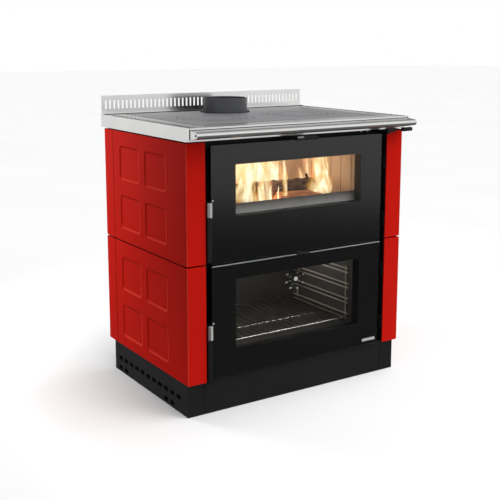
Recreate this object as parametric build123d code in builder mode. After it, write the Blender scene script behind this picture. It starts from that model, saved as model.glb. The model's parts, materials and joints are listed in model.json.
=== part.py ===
from build123d import *
import os

os.makedirs("parts", exist_ok=True)

# Wood-burning cookstove, in millimetres.
# X runs to the right seen from the front, Y to the back and Z up from the floor.

# Overall size
overall_width = 800.0  # steel top, side to side
overall_depth = 630.0  # handrail nose to the back of the steel top
hob_height = 852.0  # floor to the cooking surface

# Plinth, base and carcass
sheet = 3.0  # steel sheet of plinth, base, carcass and oven
plinth_height = 102.0
plinth_side_inset = 6.0
plinth_front_inset = 14.0
plinth_rear_inset = 28.0
plinth_fold = 20.0
skirt_floor_gap = 6.0  # base tray's rear skirt above the floor
plinth_vent_length = 26.0
plinth_vent_height = 14.0
plinth_vent_pitch = 40.0
plinth_vent_front_margin = 58.0  # plinth front to the first vent's middle
plinth_vent_rear_margin = 43.0  # last vent's middle to the plinth's back, at least
plinth_vent_lower_height = 14.0  # floor to the middle of each row
plinth_vent_upper_height = 47.0
plinth_lower_vent_count = 2  # vents below the upper row, near each end
foot_radius = 20.0
foot_thickness = 8.0
foot_stud_radius = 6.0
foot_inset = 60.0  # foot middle from the plinth's inside corner
insulation_thickness = 18.0
insulation_play = 4.0  # between insulation board and cladding
rear_panel_inset = 20.0  # rear panel ahead of the cladding's back edge
louvre_length = 70.0
louvre_height = 6.0
louvre_pitch = 18.0
louvre_count = 6
louvre_column_spacing = 300.0
louvre_height_above_base = 90.0
screw_radius = 4.5
screw_head = 3.0
screw_rows = 5
screw_edge = 14.0  # screw middle from the rear panel's edge

# Cladding
side_overhang = 2.0  # steel top past the cladding, each side
rear_overhang = 20.0  # steel top past the cladding, at the back
rail_reach = 67.0  # handrail nose ahead of the cladding
cladding_thickness = 4.0
front_strip_width = 62.0
rear_trim_width = 63.0
rear_trim_return = 24.0
seam_gap = 4.0  # between upper and lower panels, and above them
joint_gap = 1.0  # upright joints
corner_radius = 5.0
emboss_length = 137.0
emboss_height = 109.0
emboss_depth = 2.0
emboss_radius = 14.0
emboss_slope = 40.0  # degrees
emboss_length_pitch = 174.0
emboss_height_pitch = 157.0
emboss_rear_margin = 48.0
upper_emboss_margin = 40.0  # panel's lower edge to the first row
lower_emboss_margin = 35.0

# Steel top, hob plate and handrail
top_sheet = 2.0
fascia_height = 40.0
lip_reach = 7.0  # fascia lip ahead of the cladding
top_reach = 25.0  # steel top ahead of the cladding
top_soffit_drop = 33.0  # cooking surface to the underside ahead of the lip
plate_side_inset = 68.0  # plate's side edge from the top's side
plate_rear_inset = 43.0  # plate's back edge from the top's back
plate_setback = 48.0  # plate's front edge behind the cladding's front
plate_thickness = 12.0
plate_gap = 1.5
plate_corner_radius = 6.0
ledge_width = 8.0
hob_vent_length = 18.0
hob_vent_width = 17.0
hob_vent_pitch = 28.0
hob_vent_inset = 14.5  # vent's middle from the top's side edge
hob_vent_front_margin = 12.0
hob_vent_rear_margin = 72.0  # last vent's middle to the top's back, at least
ring_spacing = 314.0
ring_setback = 243.0  # ring middles behind the cladding's front
ring_outer_radius = 121.0
ring_middle_radius = 100.0
lid_radius = 79.0
lid_groove_radius = 58.0
lid_groove_width = 1.5
lid_groove_depth = 1.2
lid_slot_length = 22.0
lid_slot_width = 8.0
lid_slot_depth = 5.0
lid_slot_reach = 30.0
ring_step = 8.0  # half-lap between neighbouring rings
ring_gap = 1.2
flue_rear_inset = 120.0  # flue middle from the top's back
flue_spigot_radius = 74.5
flue_bore_radius = 70.0
flue_flange_radius = 82.0
flue_flange_thickness = 6.0
flue_height = 48.0
flue_rim_radius = 1.6
splash_height = 60.0
splash_foot = 22.0
splash_slot_width = 6.0
splash_slot_height = 28.0
splash_slot_pitch = 15.0
splash_slot_margin = 8.0  # splashback's end to the first slot, at least
splash_slot_rise = 30.0  # slot middle above the hob
rail_top_drop = 6.0  # cooking surface to the rail's upper back edge
rail_nose_radius = 9.0
rail_nose_drop = 18.0  # nose middle below the cooking surface
rail_wall = 1.5
rail_cap = 2.0
rail_cap_hole_radius = 2.5

# Doors
door_side_gap = 20.0  # cladding strip to door glass
door_split_height = 450.0
door_split_gap = 6.0
door_foot_gap = 3.0
door_head_gap = 10.0
glass_thickness = 4.0
glass_radius = 3.0
glass_bevel = 0.8
door_frame_depth = 30.0
door_frame_inset = 12.0  # frame inside the edge of its glass
door_rim = 8.0
door_jamb = 5.0
door_back_plate = 4.0
seal_gap = 8.0  # door frame to face frame
seal_width = 9.0
seal_clearance = 0.3
seal_inset = 6.0
seal_radius = 2.5
window_side_margin = 83.0  # door's side edge to the window
fire_window_foot = 134.0  # door's lower edge to the window
fire_window_head = 60.0
oven_window_foot = 78.0
oven_window_head = 47.0
inner_glass_lap = 10.0
inner_glass_thickness = 4.0
retainer_thickness = 2.0
retainer_rim = 14.0
retainer_foot = 44.0  # height of the retainer's lower bar
retainer_side = 12.0
hinge_pin_radius = 4.0
hinge_pin_play = 0.06
hinge_barrel_radius = 7.0
hinge_barrel_height = 22.0
hinge_end_margin = 70.0  # door's end to the hinge
hinge_axial_play = 0.3
hinge_setback = 4.0  # hinge axis behind the door's face
hinge_arm = 6.0
hinge_post_width = 10.0

# Door handles
handle_width = 15.0
handle_proud = 8.0  # handle ahead of the door's face
handle_pivot_setback = 9.0
handle_root_depth = 24.0
handle_root_above = 16.0
handle_root_below = 28.0
handle_pin_radius = 3.0
handle_pin_play = 0.06
handle_bracket_reach = 12.0
handle_bracket_height = 24.0
handle_bracket_depth = 20.0
handle_edge_radius = 2.5
grip_depth = 14.0
grip_length = 130.0
grip_edge_radius = 5.0
fire_handle_rise = 167.0  # door's lower edge to the handle pivot
oven_handle_rise = 153.0
latch_tongue_width = 10.0
latch_tongue_height = 6.0
latch_tongue_drop = 2.0  # tongue's top below the pivot
latch_tongue_gap = 2.0  # tongue's end to the face frame
latch_play = 0.5
keeper_height = 11.5
keeper_reach = 14.0
keeper_width = 12.0

# Badge plate and oven thermometer
badge_width = 53.0
badge_height = 9.0
badge_thickness = 1.0
badge_side_margin = 14.0
badge_foot_margin = 14.5
dial_radius = 37.0
dial_thickness = 1.5
dial_head_gap = 1.5  # dial below the window's upper edge
dial_spindle_radius = 1.5
dial_spindle_length = 7.0
needle_hub_radius = 6.0
needle_hub_thickness = 4.0
needle_play = 0.06
needle_seat_play = 0.5
needle_width = 3.0
needle_thickness = 1.2
needle_length = 29.0
needle_rest_angle = 135.0  # from straight up, towards the left

# Face frame and firebox
face_thickness = 4.0
firebox_side_inset = 91.0  # lining's inner face from the cladding strip
firebox_depth = 290.0
brick_thickness = 28.0
brick_joint = 1.0
brick_top_drop = 27.0  # brick tops below the control rods
shell_steel = 4.0
fire_opening_lip = 2.0  # opening's side inside the lining
fire_opening_foot = 2.0  # opening below the fire window
fire_opening_head = 19.0  # opening above the fire window
fire_floor_drop = 15.0  # firebox floor below the opening
ash_floor_rise = 35.0  # fire door's lower edge to the ash floor
ash_opening_inset = 45.0  # ash opening's side inside the lining
ash_opening_height = 74.0
grate_depth = 200.0
grate_thickness = 12.0
grate_lap = 15.0
grate_bar_width = 16.0
grate_bar_pitch = 28.0
grate_bar_count = 10
grate_end_gap = 1.0  # outer bars to the hole's ends
drawer_wall = 2.0
drawer_play = 4.0
drawer_depth = 255.0
drawer_height = 68.0
drawer_pull_width = 80.0
drawer_pull_height = 8.0
drawer_pull_reach = 6.0
drawer_pull_rise = 44.0
outlet_width = 240.0
outlet_height = 40.0

# Oven
oven_side_inset = 96.0  # oven's inner face from the cladding strip
oven_rear_gap = 74.0  # oven's inner back face to the rear panel
oven_foot = 20.0  # oven floor below the window
oven_head = 12.0  # oven roof above the window
wire_radius = 2.5
rack_standoff = 0.3
rack_weld = 0.8
rack_first_level = 24.0
rack_level_pitch = 51.0
rack_level_count = 4
rack_pair_spacing = 14.0
rack_front = 14.0
rack_length = 300.0
rack_post_inset = 16.0
shelf_bar_radius = 3.0
shelf_cross_radius = 2.6
shelf_wire_radius = 1.6
shelf_wire_count = 17
shelf_front = 10.0
shelf_depth = 320.0
shelf_play = 0.2

# Controls
control_drop = 5.0  # rods below the fascia
rod_radius = 3.5
rod_play = 0.08
control_grip_height = 12.0
control_grip_depth = 14.0
control_grip_front = 15.0  # grip's front behind the handrail nose
control_grip_radius = 4.0
side_grip_rise = 5.0  # right-hand grips above the rods
damper_eye_left = -55.0
damper_eye_right = -27.0
damper_grip_length = 49.0
damper_plate_margin = 8.0
damper_plate_thickness = 4.0
damper_seat_play = 0.5
valve_side_inset = 38.0  # valve rod from the cladding strip
valve_eye_width = 9.0
valve_grip_length = 23.0
valve_disc_radius = 21.0
valve_disc_thickness = 4.0
valve_seat_play = 0.5
valve_hole_radius = 3.5
valve_hole_circle = 13.0
valve_hole_count = 6
lever_pivot_inset = 48.0  # lever pivot from the cladding's side
lever_pivot_setback = 24.0
lever_boss_radius = 9.0
lever_end_radius = 3.5
lever_play = 0.5
lever_stud_radius = 3.0
lever_stud_play = 0.06
lever_stud_height = 4.0
lever_tab_thickness = 3.5
lever_tab_width = 20.0
lever_grip_right_inset = 3.0  # grip's right end from the cladding's side
lever_eye_width = 8.0
lever_grip_length = 28.0
slide_blade_width = 18.0
slide_blade_thickness = 3.0
slide_travel = 28.0
slide_slot_play = 0.6
slide_reach = 4.0  # grip ahead of the door face
slide_grip_length = 42.0
slide_grip_depth = 12.0
slide_grip_thickness = 4.0
slide_shutter_width = 150.0
slide_shutter_height = 44.0
slide_shutter_thickness = 3.0
slide_shutter_play = 0.5
slide_hole_radius = 5.0
slide_hole_pitch = 28.0
slide_hole_count = 3
slide_hole_rise = 13.0

# Planes and edges worked out from the sizes above
nose_y = -overall_depth / 2
rear_y = overall_depth / 2
top_half = overall_width / 2
shell_front = nose_y + rail_reach
shell_back = rear_y - rear_overhang
shell_half = top_half - side_overhang
shell_inner = shell_half - cladding_thickness
opening_half = shell_half - front_strip_width
trim_joint_y = shell_back - rear_trim_width

fascia_bottom = hob_height - fascia_height
sheet_underside = hob_height - top_sheet
cladding_top = fascia_bottom - seam_gap
cladding_seam = (plinth_height + cladding_top) / 2
base_top = plinth_height + sheet
carcass_top = hob_height - plate_thickness - top_sheet

plinth_half = shell_half - plinth_side_inset
plinth_face = shell_front + plinth_front_inset
plinth_back = shell_back - plinth_rear_inset

door_half = opening_half - door_side_gap
frame_half = door_half - door_frame_inset
window_width = 2 * (door_half - window_side_margin)
glass_back = shell_front + glass_thickness
door_back = glass_back + door_frame_depth
face_front = door_back + seal_gap
face_back = face_front + face_thickness
rear_panel_back = shell_back - rear_panel_inset
rear_panel_front = rear_panel_back - sheet
carcass_half = shell_inner - insulation_play - insulation_thickness

oven_door_bottom = plinth_height + door_foot_gap
oven_door_top = door_split_height - door_split_gap / 2
fire_door_bottom = door_split_height + door_split_gap / 2
fire_door_top = cladding_top - door_head_gap
oven_window_bottom = oven_door_bottom + oven_window_foot
oven_window_top = oven_door_top - oven_window_head
fire_window_bottom = fire_door_bottom + fire_window_foot
fire_window_top = fire_door_top - fire_window_head
fire_handle_z = fire_door_bottom + fire_handle_rise
oven_handle_z = oven_door_bottom + oven_handle_rise

handle_x = -(door_half + opening_half) / 2
handle_limits = (handle_x - handle_width / 2, handle_x + handle_width / 2)
handle_pivot_y = shell_front + handle_pivot_setback
hinge_x = (door_half + opening_half) / 2
hinge_y = shell_front + hinge_setback

plate_half = top_half - plate_side_inset
plate_front = shell_front + plate_setback
plate_rear = rear_y - plate_rear_inset
plate_bottom = hob_height - plate_thickness
ring_y = shell_front + ring_setback
ring_bed = hob_height - plate_thickness / 2
flue_y = rear_y - flue_rear_inset
top_front = shell_front - top_reach
lip_y = shell_front - lip_reach
soffit_z = hob_height - top_soffit_drop

control_z = fascia_bottom - control_drop
damper_x = (damper_eye_left + damper_eye_right) / 2
valve_x = opening_half - valve_side_inset
control_grip_y = (nose_y + control_grip_front, nose_y + control_grip_front + control_grip_depth)
control_grip_z = (control_z - control_grip_height / 2, control_z + control_grip_height / 2)
side_grip_z = (control_grip_z[0] + side_grip_rise, control_grip_z[1] + side_grip_rise)

fire_opening_bottom = fire_window_bottom - fire_opening_foot
fire_opening_top = fire_window_top + fire_opening_head
fire_floor = fire_opening_bottom - fire_floor_drop
ash_floor = fire_door_bottom + ash_floor_rise
firebox_half = opening_half - firebox_side_inset
lining_half = firebox_half + brick_thickness
fire_opening_width = 2 * (firebox_half - fire_opening_lip)
ash_opening_width = 2 * (firebox_half - ash_opening_inset)
fire_brick_y = face_back + firebox_depth
fire_shell_y = fire_brick_y + brick_thickness
fire_back = fire_shell_y + shell_steel
brick_top = control_z - brick_top_drop
grate_y = face_back + firebox_depth / 2
oven_half = opening_half - oven_side_inset
oven_width = 2 * oven_half
oven_depth = rear_panel_front - face_back - oven_rear_gap
oven_bottom = oven_window_bottom - oven_foot
oven_top = oven_window_top + oven_head
sides = (-1, 1)


def slab(x, y, z, mode=Mode.ADD):
    """Box between two limits on each axis."""
    with Locations(((x[0] + x[1]) / 2, (y[0] + y[1]) / 2, (z[0] + z[1]) / 2)):
        Box(x[1] - x[0], y[1] - y[0], z[1] - z[0], mode=mode)


def bar_x(x, y, z, radius, mode=Mode.ADD):
    """Round bar along X."""
    with Locations(((x[0] + x[1]) / 2, y, z)):
        Cylinder(radius, x[1] - x[0], rotation=(0, 90, 0), mode=mode)


def bar_y(x, y, z, radius, mode=Mode.ADD):
    """Round bar along Y."""
    with Locations((x, (y[0] + y[1]) / 2, z)):
        Cylinder(radius, y[1] - y[0], rotation=(90, 0, 0), mode=mode)


def bar_z(x, y, z, radius, mode=Mode.ADD):
    """Round bar along Z."""
    with Locations((x, y, (z[0] + z[1]) / 2)):
        Cylinder(radius, z[1] - z[0], mode=mode)


def mirrored(limits):
    """Limits on the other side of the middle."""
    return (-limits[1], -limits[0])


def keep(piece, name):
    """Label a finished piece and write it."""
    piece.part.label = name
    export_step(piece.part, f"parts/{name}.step")


# Plinth and base
with BuildPart() as plinth_front:
    slab((-opening_half, opening_half), (plinth_face, plinth_face + sheet), (0, plinth_height))
    slab(
        (-opening_half, opening_half),
        (plinth_face, plinth_face + plinth_fold),
        (plinth_height - sheet, plinth_height),
    )
keep(plinth_front, "plinth_front")

vent_run = plinth_back - plinth_face - plinth_vent_front_margin - plinth_vent_rear_margin
vent_count = int(vent_run / plinth_vent_pitch) + 1
vent_places = [plinth_face + plinth_vent_front_margin + plinth_vent_pitch * i for i in range(vent_count)]
lower_vent_places = vent_places[1 : plinth_lower_vent_count + 1] + vent_places[-plinth_lower_vent_count:]
vent_middles = [(y, plinth_vent_upper_height) for y in vent_places]
vent_middles += [(y, plinth_vent_lower_height) for y in lower_vent_places]
with BuildPart() as plinth_left:
    slab((-plinth_half, sheet - plinth_half), (plinth_face, plinth_back), (0, plinth_height))
    slab((-plinth_half, -opening_half - joint_gap), (plinth_face, plinth_face + sheet), (0, plinth_height))
    slab(
        (-plinth_half, plinth_fold - plinth_half),
        (plinth_face, plinth_back),
        (plinth_height - sheet, plinth_height),
    )
    with BuildSketch(Plane.YZ.offset(-plinth_half)):
        with Locations(*vent_middles):
            Rectangle(plinth_vent_length, plinth_vent_height)
    extrude(amount=sheet, mode=Mode.SUBTRACT)
keep(plinth_left, "plinth_left")

with BuildPart() as plinth_right:
    mirror(plinth_left.part, about=Plane.YZ)
keep(plinth_right, "plinth_right")

with BuildPart() as base_plate:
    slab((-plinth_half, plinth_half), (plinth_face, plinth_back), (plinth_height, base_top))
    slab(
        (plinth_fold - plinth_half, plinth_half - plinth_fold),
        (plinth_back - sheet, plinth_back),
        (skirt_floor_gap, plinth_height),
    )
keep(base_plate, "base_plate")

with BuildPart() as levelling_feet:
    for side in sides:
        for y in (plinth_face + foot_inset, plinth_back - foot_inset):
            x = side * (plinth_half - foot_inset)
            bar_z(x, y, (0, foot_thickness), foot_radius)
            bar_z(x, y, (foot_thickness, plinth_height), foot_stud_radius)
keep(levelling_feet, "levelling_feet")

# Carcass
slot_half = slide_blade_width / 2 + slide_travel + slide_slot_play
slot_height = slide_blade_thickness + 2 * slide_slot_play
lever_pivot_x = shell_half - lever_pivot_inset
lever_pivot_y = shell_front + lever_pivot_setback
lever_z = (cladding_top + lever_play, fascia_bottom - lever_play)
lever_tab_top = cladding_top - lever_play
with BuildPart() as face_frame:
    with BuildSketch(Plane.XZ.offset(-face_front)):
        with Locations((0, (base_top + carcass_top) / 2)):
            Rectangle(2 * shell_inner, carcass_top - base_top)
        with Locations((0, (fire_opening_bottom + fire_opening_top) / 2)):
            Rectangle(fire_opening_width, fire_opening_top - fire_opening_bottom, mode=Mode.SUBTRACT)
        with Locations((0, ash_floor + ash_opening_height / 2)):
            Rectangle(ash_opening_width, ash_opening_height, mode=Mode.SUBTRACT)
        with Locations((0, (oven_bottom + oven_top) / 2)):
            Rectangle(oven_width, oven_top - oven_bottom, mode=Mode.SUBTRACT)
        with Locations((0, door_split_height)):
            Rectangle(2 * slot_half, slot_height, mode=Mode.SUBTRACT)
        with Locations((0, door_split_height + slide_hole_rise), (0, door_split_height - slide_hole_rise)):
            with GridLocations(slide_hole_pitch, 0, slide_hole_count, 1):
                Circle(slide_hole_radius, mode=Mode.SUBTRACT)
        with Locations((damper_x, control_z), (valve_x, control_z)):
            Circle(rod_radius + rod_play, mode=Mode.SUBTRACT)
        with Locations((valve_x, control_z)):
            with PolarLocations(valve_hole_circle, valve_hole_count):
                Circle(valve_hole_radius, mode=Mode.SUBTRACT)
    extrude(amount=-face_thickness)
    post = (opening_half, opening_half + sheet)
    for post_limits in (post, mirrored(post)):
        slab(post_limits, (shell_front + cladding_thickness, face_front), (base_top, fire_door_top))
    for pivot_height in (fire_handle_z, oven_handle_z):
        keeper_bottom = pivot_height - latch_tongue_drop + latch_play
        slab(
            (handle_x - keeper_width / 2, handle_x + keeper_width / 2),
            (face_front - keeper_reach, face_front),
            (keeper_bottom, keeper_bottom + keeper_height),
        )
    slab(
        (lever_pivot_x - lever_tab_width / 2, lever_pivot_x + lever_tab_width / 2),
        (lever_pivot_y - lever_tab_width / 2, face_front),
        (lever_tab_top - lever_tab_thickness, lever_tab_top),
    )
    bar_z(lever_pivot_x, lever_pivot_y, (lever_tab_top, lever_z[1] + lever_stud_height), lever_stud_radius)
keep(face_frame, "face_frame")

wall_y = (face_back, rear_panel_front)
with BuildPart() as carcass_walls:
    carcass_wall = (carcass_half - sheet, carcass_half)
    for wall_x in (carcass_wall, mirrored(carcass_wall)):
        slab(wall_x, wall_y, (base_top, sheet_underside))
keep(carcass_walls, "carcass_walls")

with BuildPart() as side_insulation:
    board = (carcass_half, carcass_half + insulation_thickness)
    for board_limits in (board, mirrored(board)):
        slab(board_limits, wall_y, (base_top, cladding_top))
keep(side_insulation, "side_insulation")

with BuildPart() as rear_panel:
    slab((-shell_inner, shell_inner), (rear_panel_front, rear_panel_back), (base_top, carcass_top))
    with BuildSketch(Plane.XZ.offset(-rear_panel_front)):
        with Locations((0, base_top + louvre_height_above_base)):
            with GridLocations(louvre_column_spacing, louvre_pitch, 2, louvre_count):
                SlotOverall(louvre_length, louvre_height)
    extrude(amount=-sheet, mode=Mode.SUBTRACT)
keep(rear_panel, "rear_panel")

screw_z_pitch = (cladding_top - base_top - 2 * screw_edge) / (screw_rows - 1)
screw_x = shell_inner - rear_trim_return - screw_edge
with BuildPart() as rear_panel_screws:
    for side in sides:
        for row in range(screw_rows):
            z = base_top + screw_edge + screw_z_pitch * row
            bar_y(side * screw_x, (rear_panel_back, rear_panel_back + screw_head), z, screw_radius)
keep(rear_panel_screws, "rear_panel_screws")


# Red cladding
def side_panel(bottom, top, emboss_margin):
    """Left-hand panel that turns the front corner, with four pressed rectangles."""
    with BuildPart() as panel:
        with BuildSketch(Plane.XY.offset(bottom)) as plan:
            with BuildLine():
                Polyline(
                    (-shell_half, trim_joint_y),
                    (-shell_half, shell_front),
                    (-opening_half, shell_front),
                    (-opening_half, shell_front + cladding_thickness),
                    (-shell_inner, shell_front + cladding_thickness),
                    (-shell_inner, trim_joint_y),
                    close=True,
                )
            make_face()
            corner = plan.vertices().sort_by(lambda vertex: vertex.X + vertex.Y)[0]
            fillet(corner, corner_radius)
        extrude(amount=top - bottom)
        with BuildSketch(Plane.YZ.offset(-shell_half)):
            middle_y = trim_joint_y - emboss_rear_margin - emboss_length / 2 - emboss_length_pitch / 2
            middle_z = bottom + emboss_margin + emboss_height / 2 + emboss_height_pitch / 2
            with Locations((middle_y, middle_z)):
                with GridLocations(emboss_length_pitch, emboss_height_pitch, 2, 2):
                    RectangleRounded(emboss_length, emboss_height, emboss_radius)
        extrude(amount=emboss_depth, taper=emboss_slope, mode=Mode.SUBTRACT)
    return panel


panel_levels = {
    "lower": (plinth_height, cladding_seam - seam_gap / 2, lower_emboss_margin),
    "upper": (cladding_seam + seam_gap / 2, cladding_top, upper_emboss_margin),
}
for level, (level_bottom, level_top, level_margin) in panel_levels.items():
    left_panel = side_panel(level_bottom, level_top, level_margin)
    keep(left_panel, f"{level}_panel_left")
    with BuildPart() as right_panel:
        mirror(left_panel.part, about=Plane.YZ)
    keep(right_panel, f"{level}_panel_right")

with BuildPart() as rear_corner_trims:
    trim_wall = (shell_inner, shell_half)
    trim_return = (shell_half - rear_trim_return, shell_half)
    for level_bottom, level_top, level_margin in panel_levels.values():
        level_z = (level_bottom, level_top)
        for wall_x, return_x in ((trim_wall, trim_return), (mirrored(trim_wall), mirrored(trim_return))):
            slab(wall_x, (trim_joint_y + joint_gap, shell_back), level_z)
            slab(return_x, (shell_back - cladding_thickness, shell_back), level_z)
keep(rear_corner_trims, "rear_corner_trims")

# Steel top
cutout_half = plate_half + plate_gap
cutout_y = (plate_front - plate_gap, plate_rear + plate_gap)
with BuildPart() as hob_frame:
    slab((-top_half, top_half), (top_front, rear_y), (sheet_underside, hob_height))
    with BuildSketch(Plane.YZ.offset(-top_half)):
        with BuildLine():
            Polyline(
                (rear_y, hob_height),
                (top_front, hob_height),
                (top_front, soffit_z),
                (lip_y, soffit_z),
                (lip_y, fascia_bottom),
                (rear_y, fascia_bottom),
                close=True,
            )
        make_face()
    extrude(amount=top_sheet)
    mirror(about=Plane.YZ)
    slab((-top_half, top_half), (rear_y - top_sheet, rear_y), (fascia_bottom, hob_height))
    slab((-top_half, top_half), (lip_y, lip_y + top_sheet), (fascia_bottom, hob_height))
    slab((-top_half, top_half), (top_front, lip_y + top_sheet), (soffit_z, soffit_z + top_sheet))
    slab((-top_half, top_half), (top_front, top_front + top_sheet), (soffit_z, hob_height))
    slab(
        (-cutout_half - top_sheet, cutout_half + top_sheet),
        (cutout_y[0] - top_sheet, cutout_y[1] + top_sheet),
        (plate_bottom - top_sheet, hob_height),
    )
    slab((-cutout_half, cutout_half), cutout_y, (plate_bottom, hob_height), mode=Mode.SUBTRACT)
    slab(
        (ledge_width - plate_half, plate_half - ledge_width),
        (plate_front + ledge_width, plate_rear - ledge_width),
        (plate_bottom - top_sheet, plate_bottom),
        mode=Mode.SUBTRACT,
    )
    with BuildSketch(Plane.XY.offset(sheet_underside)):
        vent_run = rear_y - top_front - hob_vent_front_margin - hob_vent_rear_margin
        vent_count = int(vent_run / hob_vent_pitch) + 1
        vent_span = hob_vent_pitch * (vent_count - 1)
        with Locations((0, top_front + hob_vent_front_margin + vent_span / 2)):
            with GridLocations(2 * (top_half - hob_vent_inset), hob_vent_pitch, 2, vent_count):
                Rectangle(hob_vent_width, hob_vent_length)
    extrude(amount=top_sheet, mode=Mode.SUBTRACT)
keep(hob_frame, "hob_frame")

with BuildPart() as hob_plate:
    with BuildSketch(Plane.XY.offset(plate_bottom)):
        with Locations((0, (plate_front + plate_rear) / 2)):
            RectangleRounded(2 * plate_half, plate_rear - plate_front, plate_corner_radius)
        with Locations((-ring_spacing / 2, ring_y), (ring_spacing / 2, ring_y)):
            Circle(ring_outer_radius - ring_step + ring_gap, mode=Mode.SUBTRACT)
        with Locations((0, flue_y)):
            Circle(flue_bore_radius, mode=Mode.SUBTRACT)
    extrude(amount=plate_thickness)
    with BuildSketch(Plane.XY.offset(ring_bed)):
        with Locations((-ring_spacing / 2, ring_y), (ring_spacing / 2, ring_y)):
            Circle(ring_outer_radius + ring_gap)
    extrude(amount=plate_thickness / 2, mode=Mode.SUBTRACT)
keep(hob_plate, "hob_plate")


def hob_ring(x, outer_radius, inner_radius):
    """Ring with a half-lap edge on the outside and a bed for the next one inside."""
    with BuildPart() as ring:
        for bottom, lap in ((plate_bottom, ring_step), (ring_bed, 0)):
            with BuildSketch(Plane.XY.offset(bottom)):
                with Locations((x, ring_y)):
                    Circle(outer_radius - lap)
                    Circle(inner_radius + ring_gap - lap, mode=Mode.SUBTRACT)
            extrude(amount=plate_thickness / 2)
    return ring


def hob_lid(x):
    """Middle lid with a turned groove and a slot for the lifter."""
    with BuildPart() as lid:
        bar_z(x, ring_y, (plate_bottom, ring_bed), lid_radius - ring_step)
        bar_z(x, ring_y, (ring_bed, hob_height), lid_radius)
        with BuildSketch(Plane.XY.offset(hob_height)):
            with Locations((x, ring_y)):
                Circle(lid_groove_radius)
                Circle(lid_groove_radius - lid_groove_width, mode=Mode.SUBTRACT)
        extrude(amount=-lid_groove_depth, mode=Mode.SUBTRACT)
        with BuildSketch(Plane.XY.offset(hob_height)):
            with Locations((x, ring_y - lid_slot_reach)):
                SlotOverall(lid_slot_length, lid_slot_width)
        extrude(amount=-lid_slot_depth, mode=Mode.SUBTRACT)
    return lid


for side_name, side in (("left", -1), ("right", 1)):
    ring_x = side * ring_spacing / 2
    keep(hob_ring(ring_x, ring_outer_radius, ring_middle_radius), f"outer_ring_{side_name}")
    keep(hob_ring(ring_x, ring_middle_radius, lid_radius), f"inner_ring_{side_name}")
    keep(hob_lid(ring_x), f"hob_lid_{side_name}")

with BuildPart() as flue_collar:
    bar_z(0, flue_y, (hob_height, hob_height + flue_flange_thickness), flue_flange_radius)
    bar_z(0, flue_y, (hob_height, hob_height + flue_height), flue_spigot_radius)
    fillet(flue_collar.faces().sort_by(Axis.Z)[-1].edges(), flue_rim_radius)
    bar_z(0, flue_y, (hob_height, hob_height + flue_height), flue_bore_radius, mode=Mode.SUBTRACT)
keep(flue_collar, "flue_collar")

with BuildPart() as splashback:
    slab((-shell_half, shell_half), (rear_y - top_sheet, rear_y), (hob_height, hob_height + splash_height))
    slab((-shell_half, shell_half), (rear_y - splash_foot, rear_y), (hob_height, hob_height + top_sheet))
    with BuildSketch(Plane.XZ.offset(top_sheet - rear_y)):
        with Locations((0, hob_height + splash_slot_rise)):
            slot_run = 2 * (shell_half - splash_slot_margin) - splash_slot_width
            with GridLocations(splash_slot_pitch, 0, int(slot_run / splash_slot_pitch) + 1, 1):
                Rectangle(splash_slot_width, splash_slot_height)
    extrude(amount=-top_sheet, mode=Mode.SUBTRACT)
keep(splashback, "splashback")


def rail_profile():
    """Bullnose section of the handrail, on the sketch in hand."""
    with Locations((nose_y + rail_nose_radius, hob_height - rail_nose_drop)):
        Circle(rail_nose_radius)
    back_height = top_soffit_drop - rail_top_drop
    with Locations((top_front - rail_wall / 2, soffit_z + back_height / 2)):
        Rectangle(rail_wall, back_height)
    make_hull()


rail_half = shell_half - rail_cap
with BuildPart() as handrail:
    with BuildSketch(Plane.YZ.offset(-rail_half)):
        rail_profile()
        offset(amount=-rail_wall, mode=Mode.SUBTRACT)
    extrude(amount=2 * rail_half)
keep(handrail, "handrail")

with BuildPart() as rail_end_caps:
    for cap_start in (-shell_half, rail_half):
        with BuildSketch(Plane.YZ.offset(cap_start)):
            rail_profile()
            with Locations((nose_y + rail_nose_radius, hob_height - rail_nose_drop)):
                Circle(rail_cap_hole_radius, mode=Mode.SUBTRACT)
        extrude(amount=rail_cap)
keep(rail_end_caps, "rail_end_caps")


# Doors
def door_glass(bottom, top):
    """Front pane of a door."""
    with BuildPart() as glass:
        with BuildSketch(Plane.XZ.offset(-shell_front)):
            with Locations((0, (bottom + top) / 2)):
                RectangleRounded(2 * door_half, top - bottom, glass_radius)
        extrude(amount=-glass_thickness)
        chamfer(glass.faces().sort_by(Axis.Y)[0].edges(), glass_bevel)
    return glass


def door_frame(bottom, top, window):
    """Pressed frame behind the glass, hollow between its rim and the window jambs."""
    middle = (0, (bottom + top) / 2)
    height = top - bottom - 2 * door_frame_inset
    window_middle = (0, (window[0] + window[1]) / 2)
    window_height = window[1] - window[0]
    with BuildPart() as frame:
        with BuildSketch(Plane.XZ.offset(-glass_back)):
            with Locations(middle):
                Rectangle(2 * frame_half, height)
            with Locations(window_middle):
                Rectangle(window_width, window_height, mode=Mode.SUBTRACT)
        extrude(amount=-door_frame_depth)
        with BuildSketch(Plane.XZ.offset(-glass_back)):
            with Locations(middle):
                Rectangle(2 * (frame_half - door_rim), height - 2 * door_rim)
            with Locations(window_middle):
                Rectangle(
                    window_width + 2 * door_jamb,
                    window_height + 2 * door_jamb,
                    mode=Mode.SUBTRACT,
                )
        extrude(amount=door_back_plate - door_frame_depth, mode=Mode.SUBTRACT)
    return frame


def door_inner_glass(window):
    """Heat-resisting pane on the back of the frame."""
    with BuildPart() as pane:
        slab(
            (-window_width / 2 - inner_glass_lap, window_width / 2 + inner_glass_lap),
            (door_back, door_back + inner_glass_thickness),
            (window[0] - inner_glass_lap, window[1] + inner_glass_lap),
        )
    return pane


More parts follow.
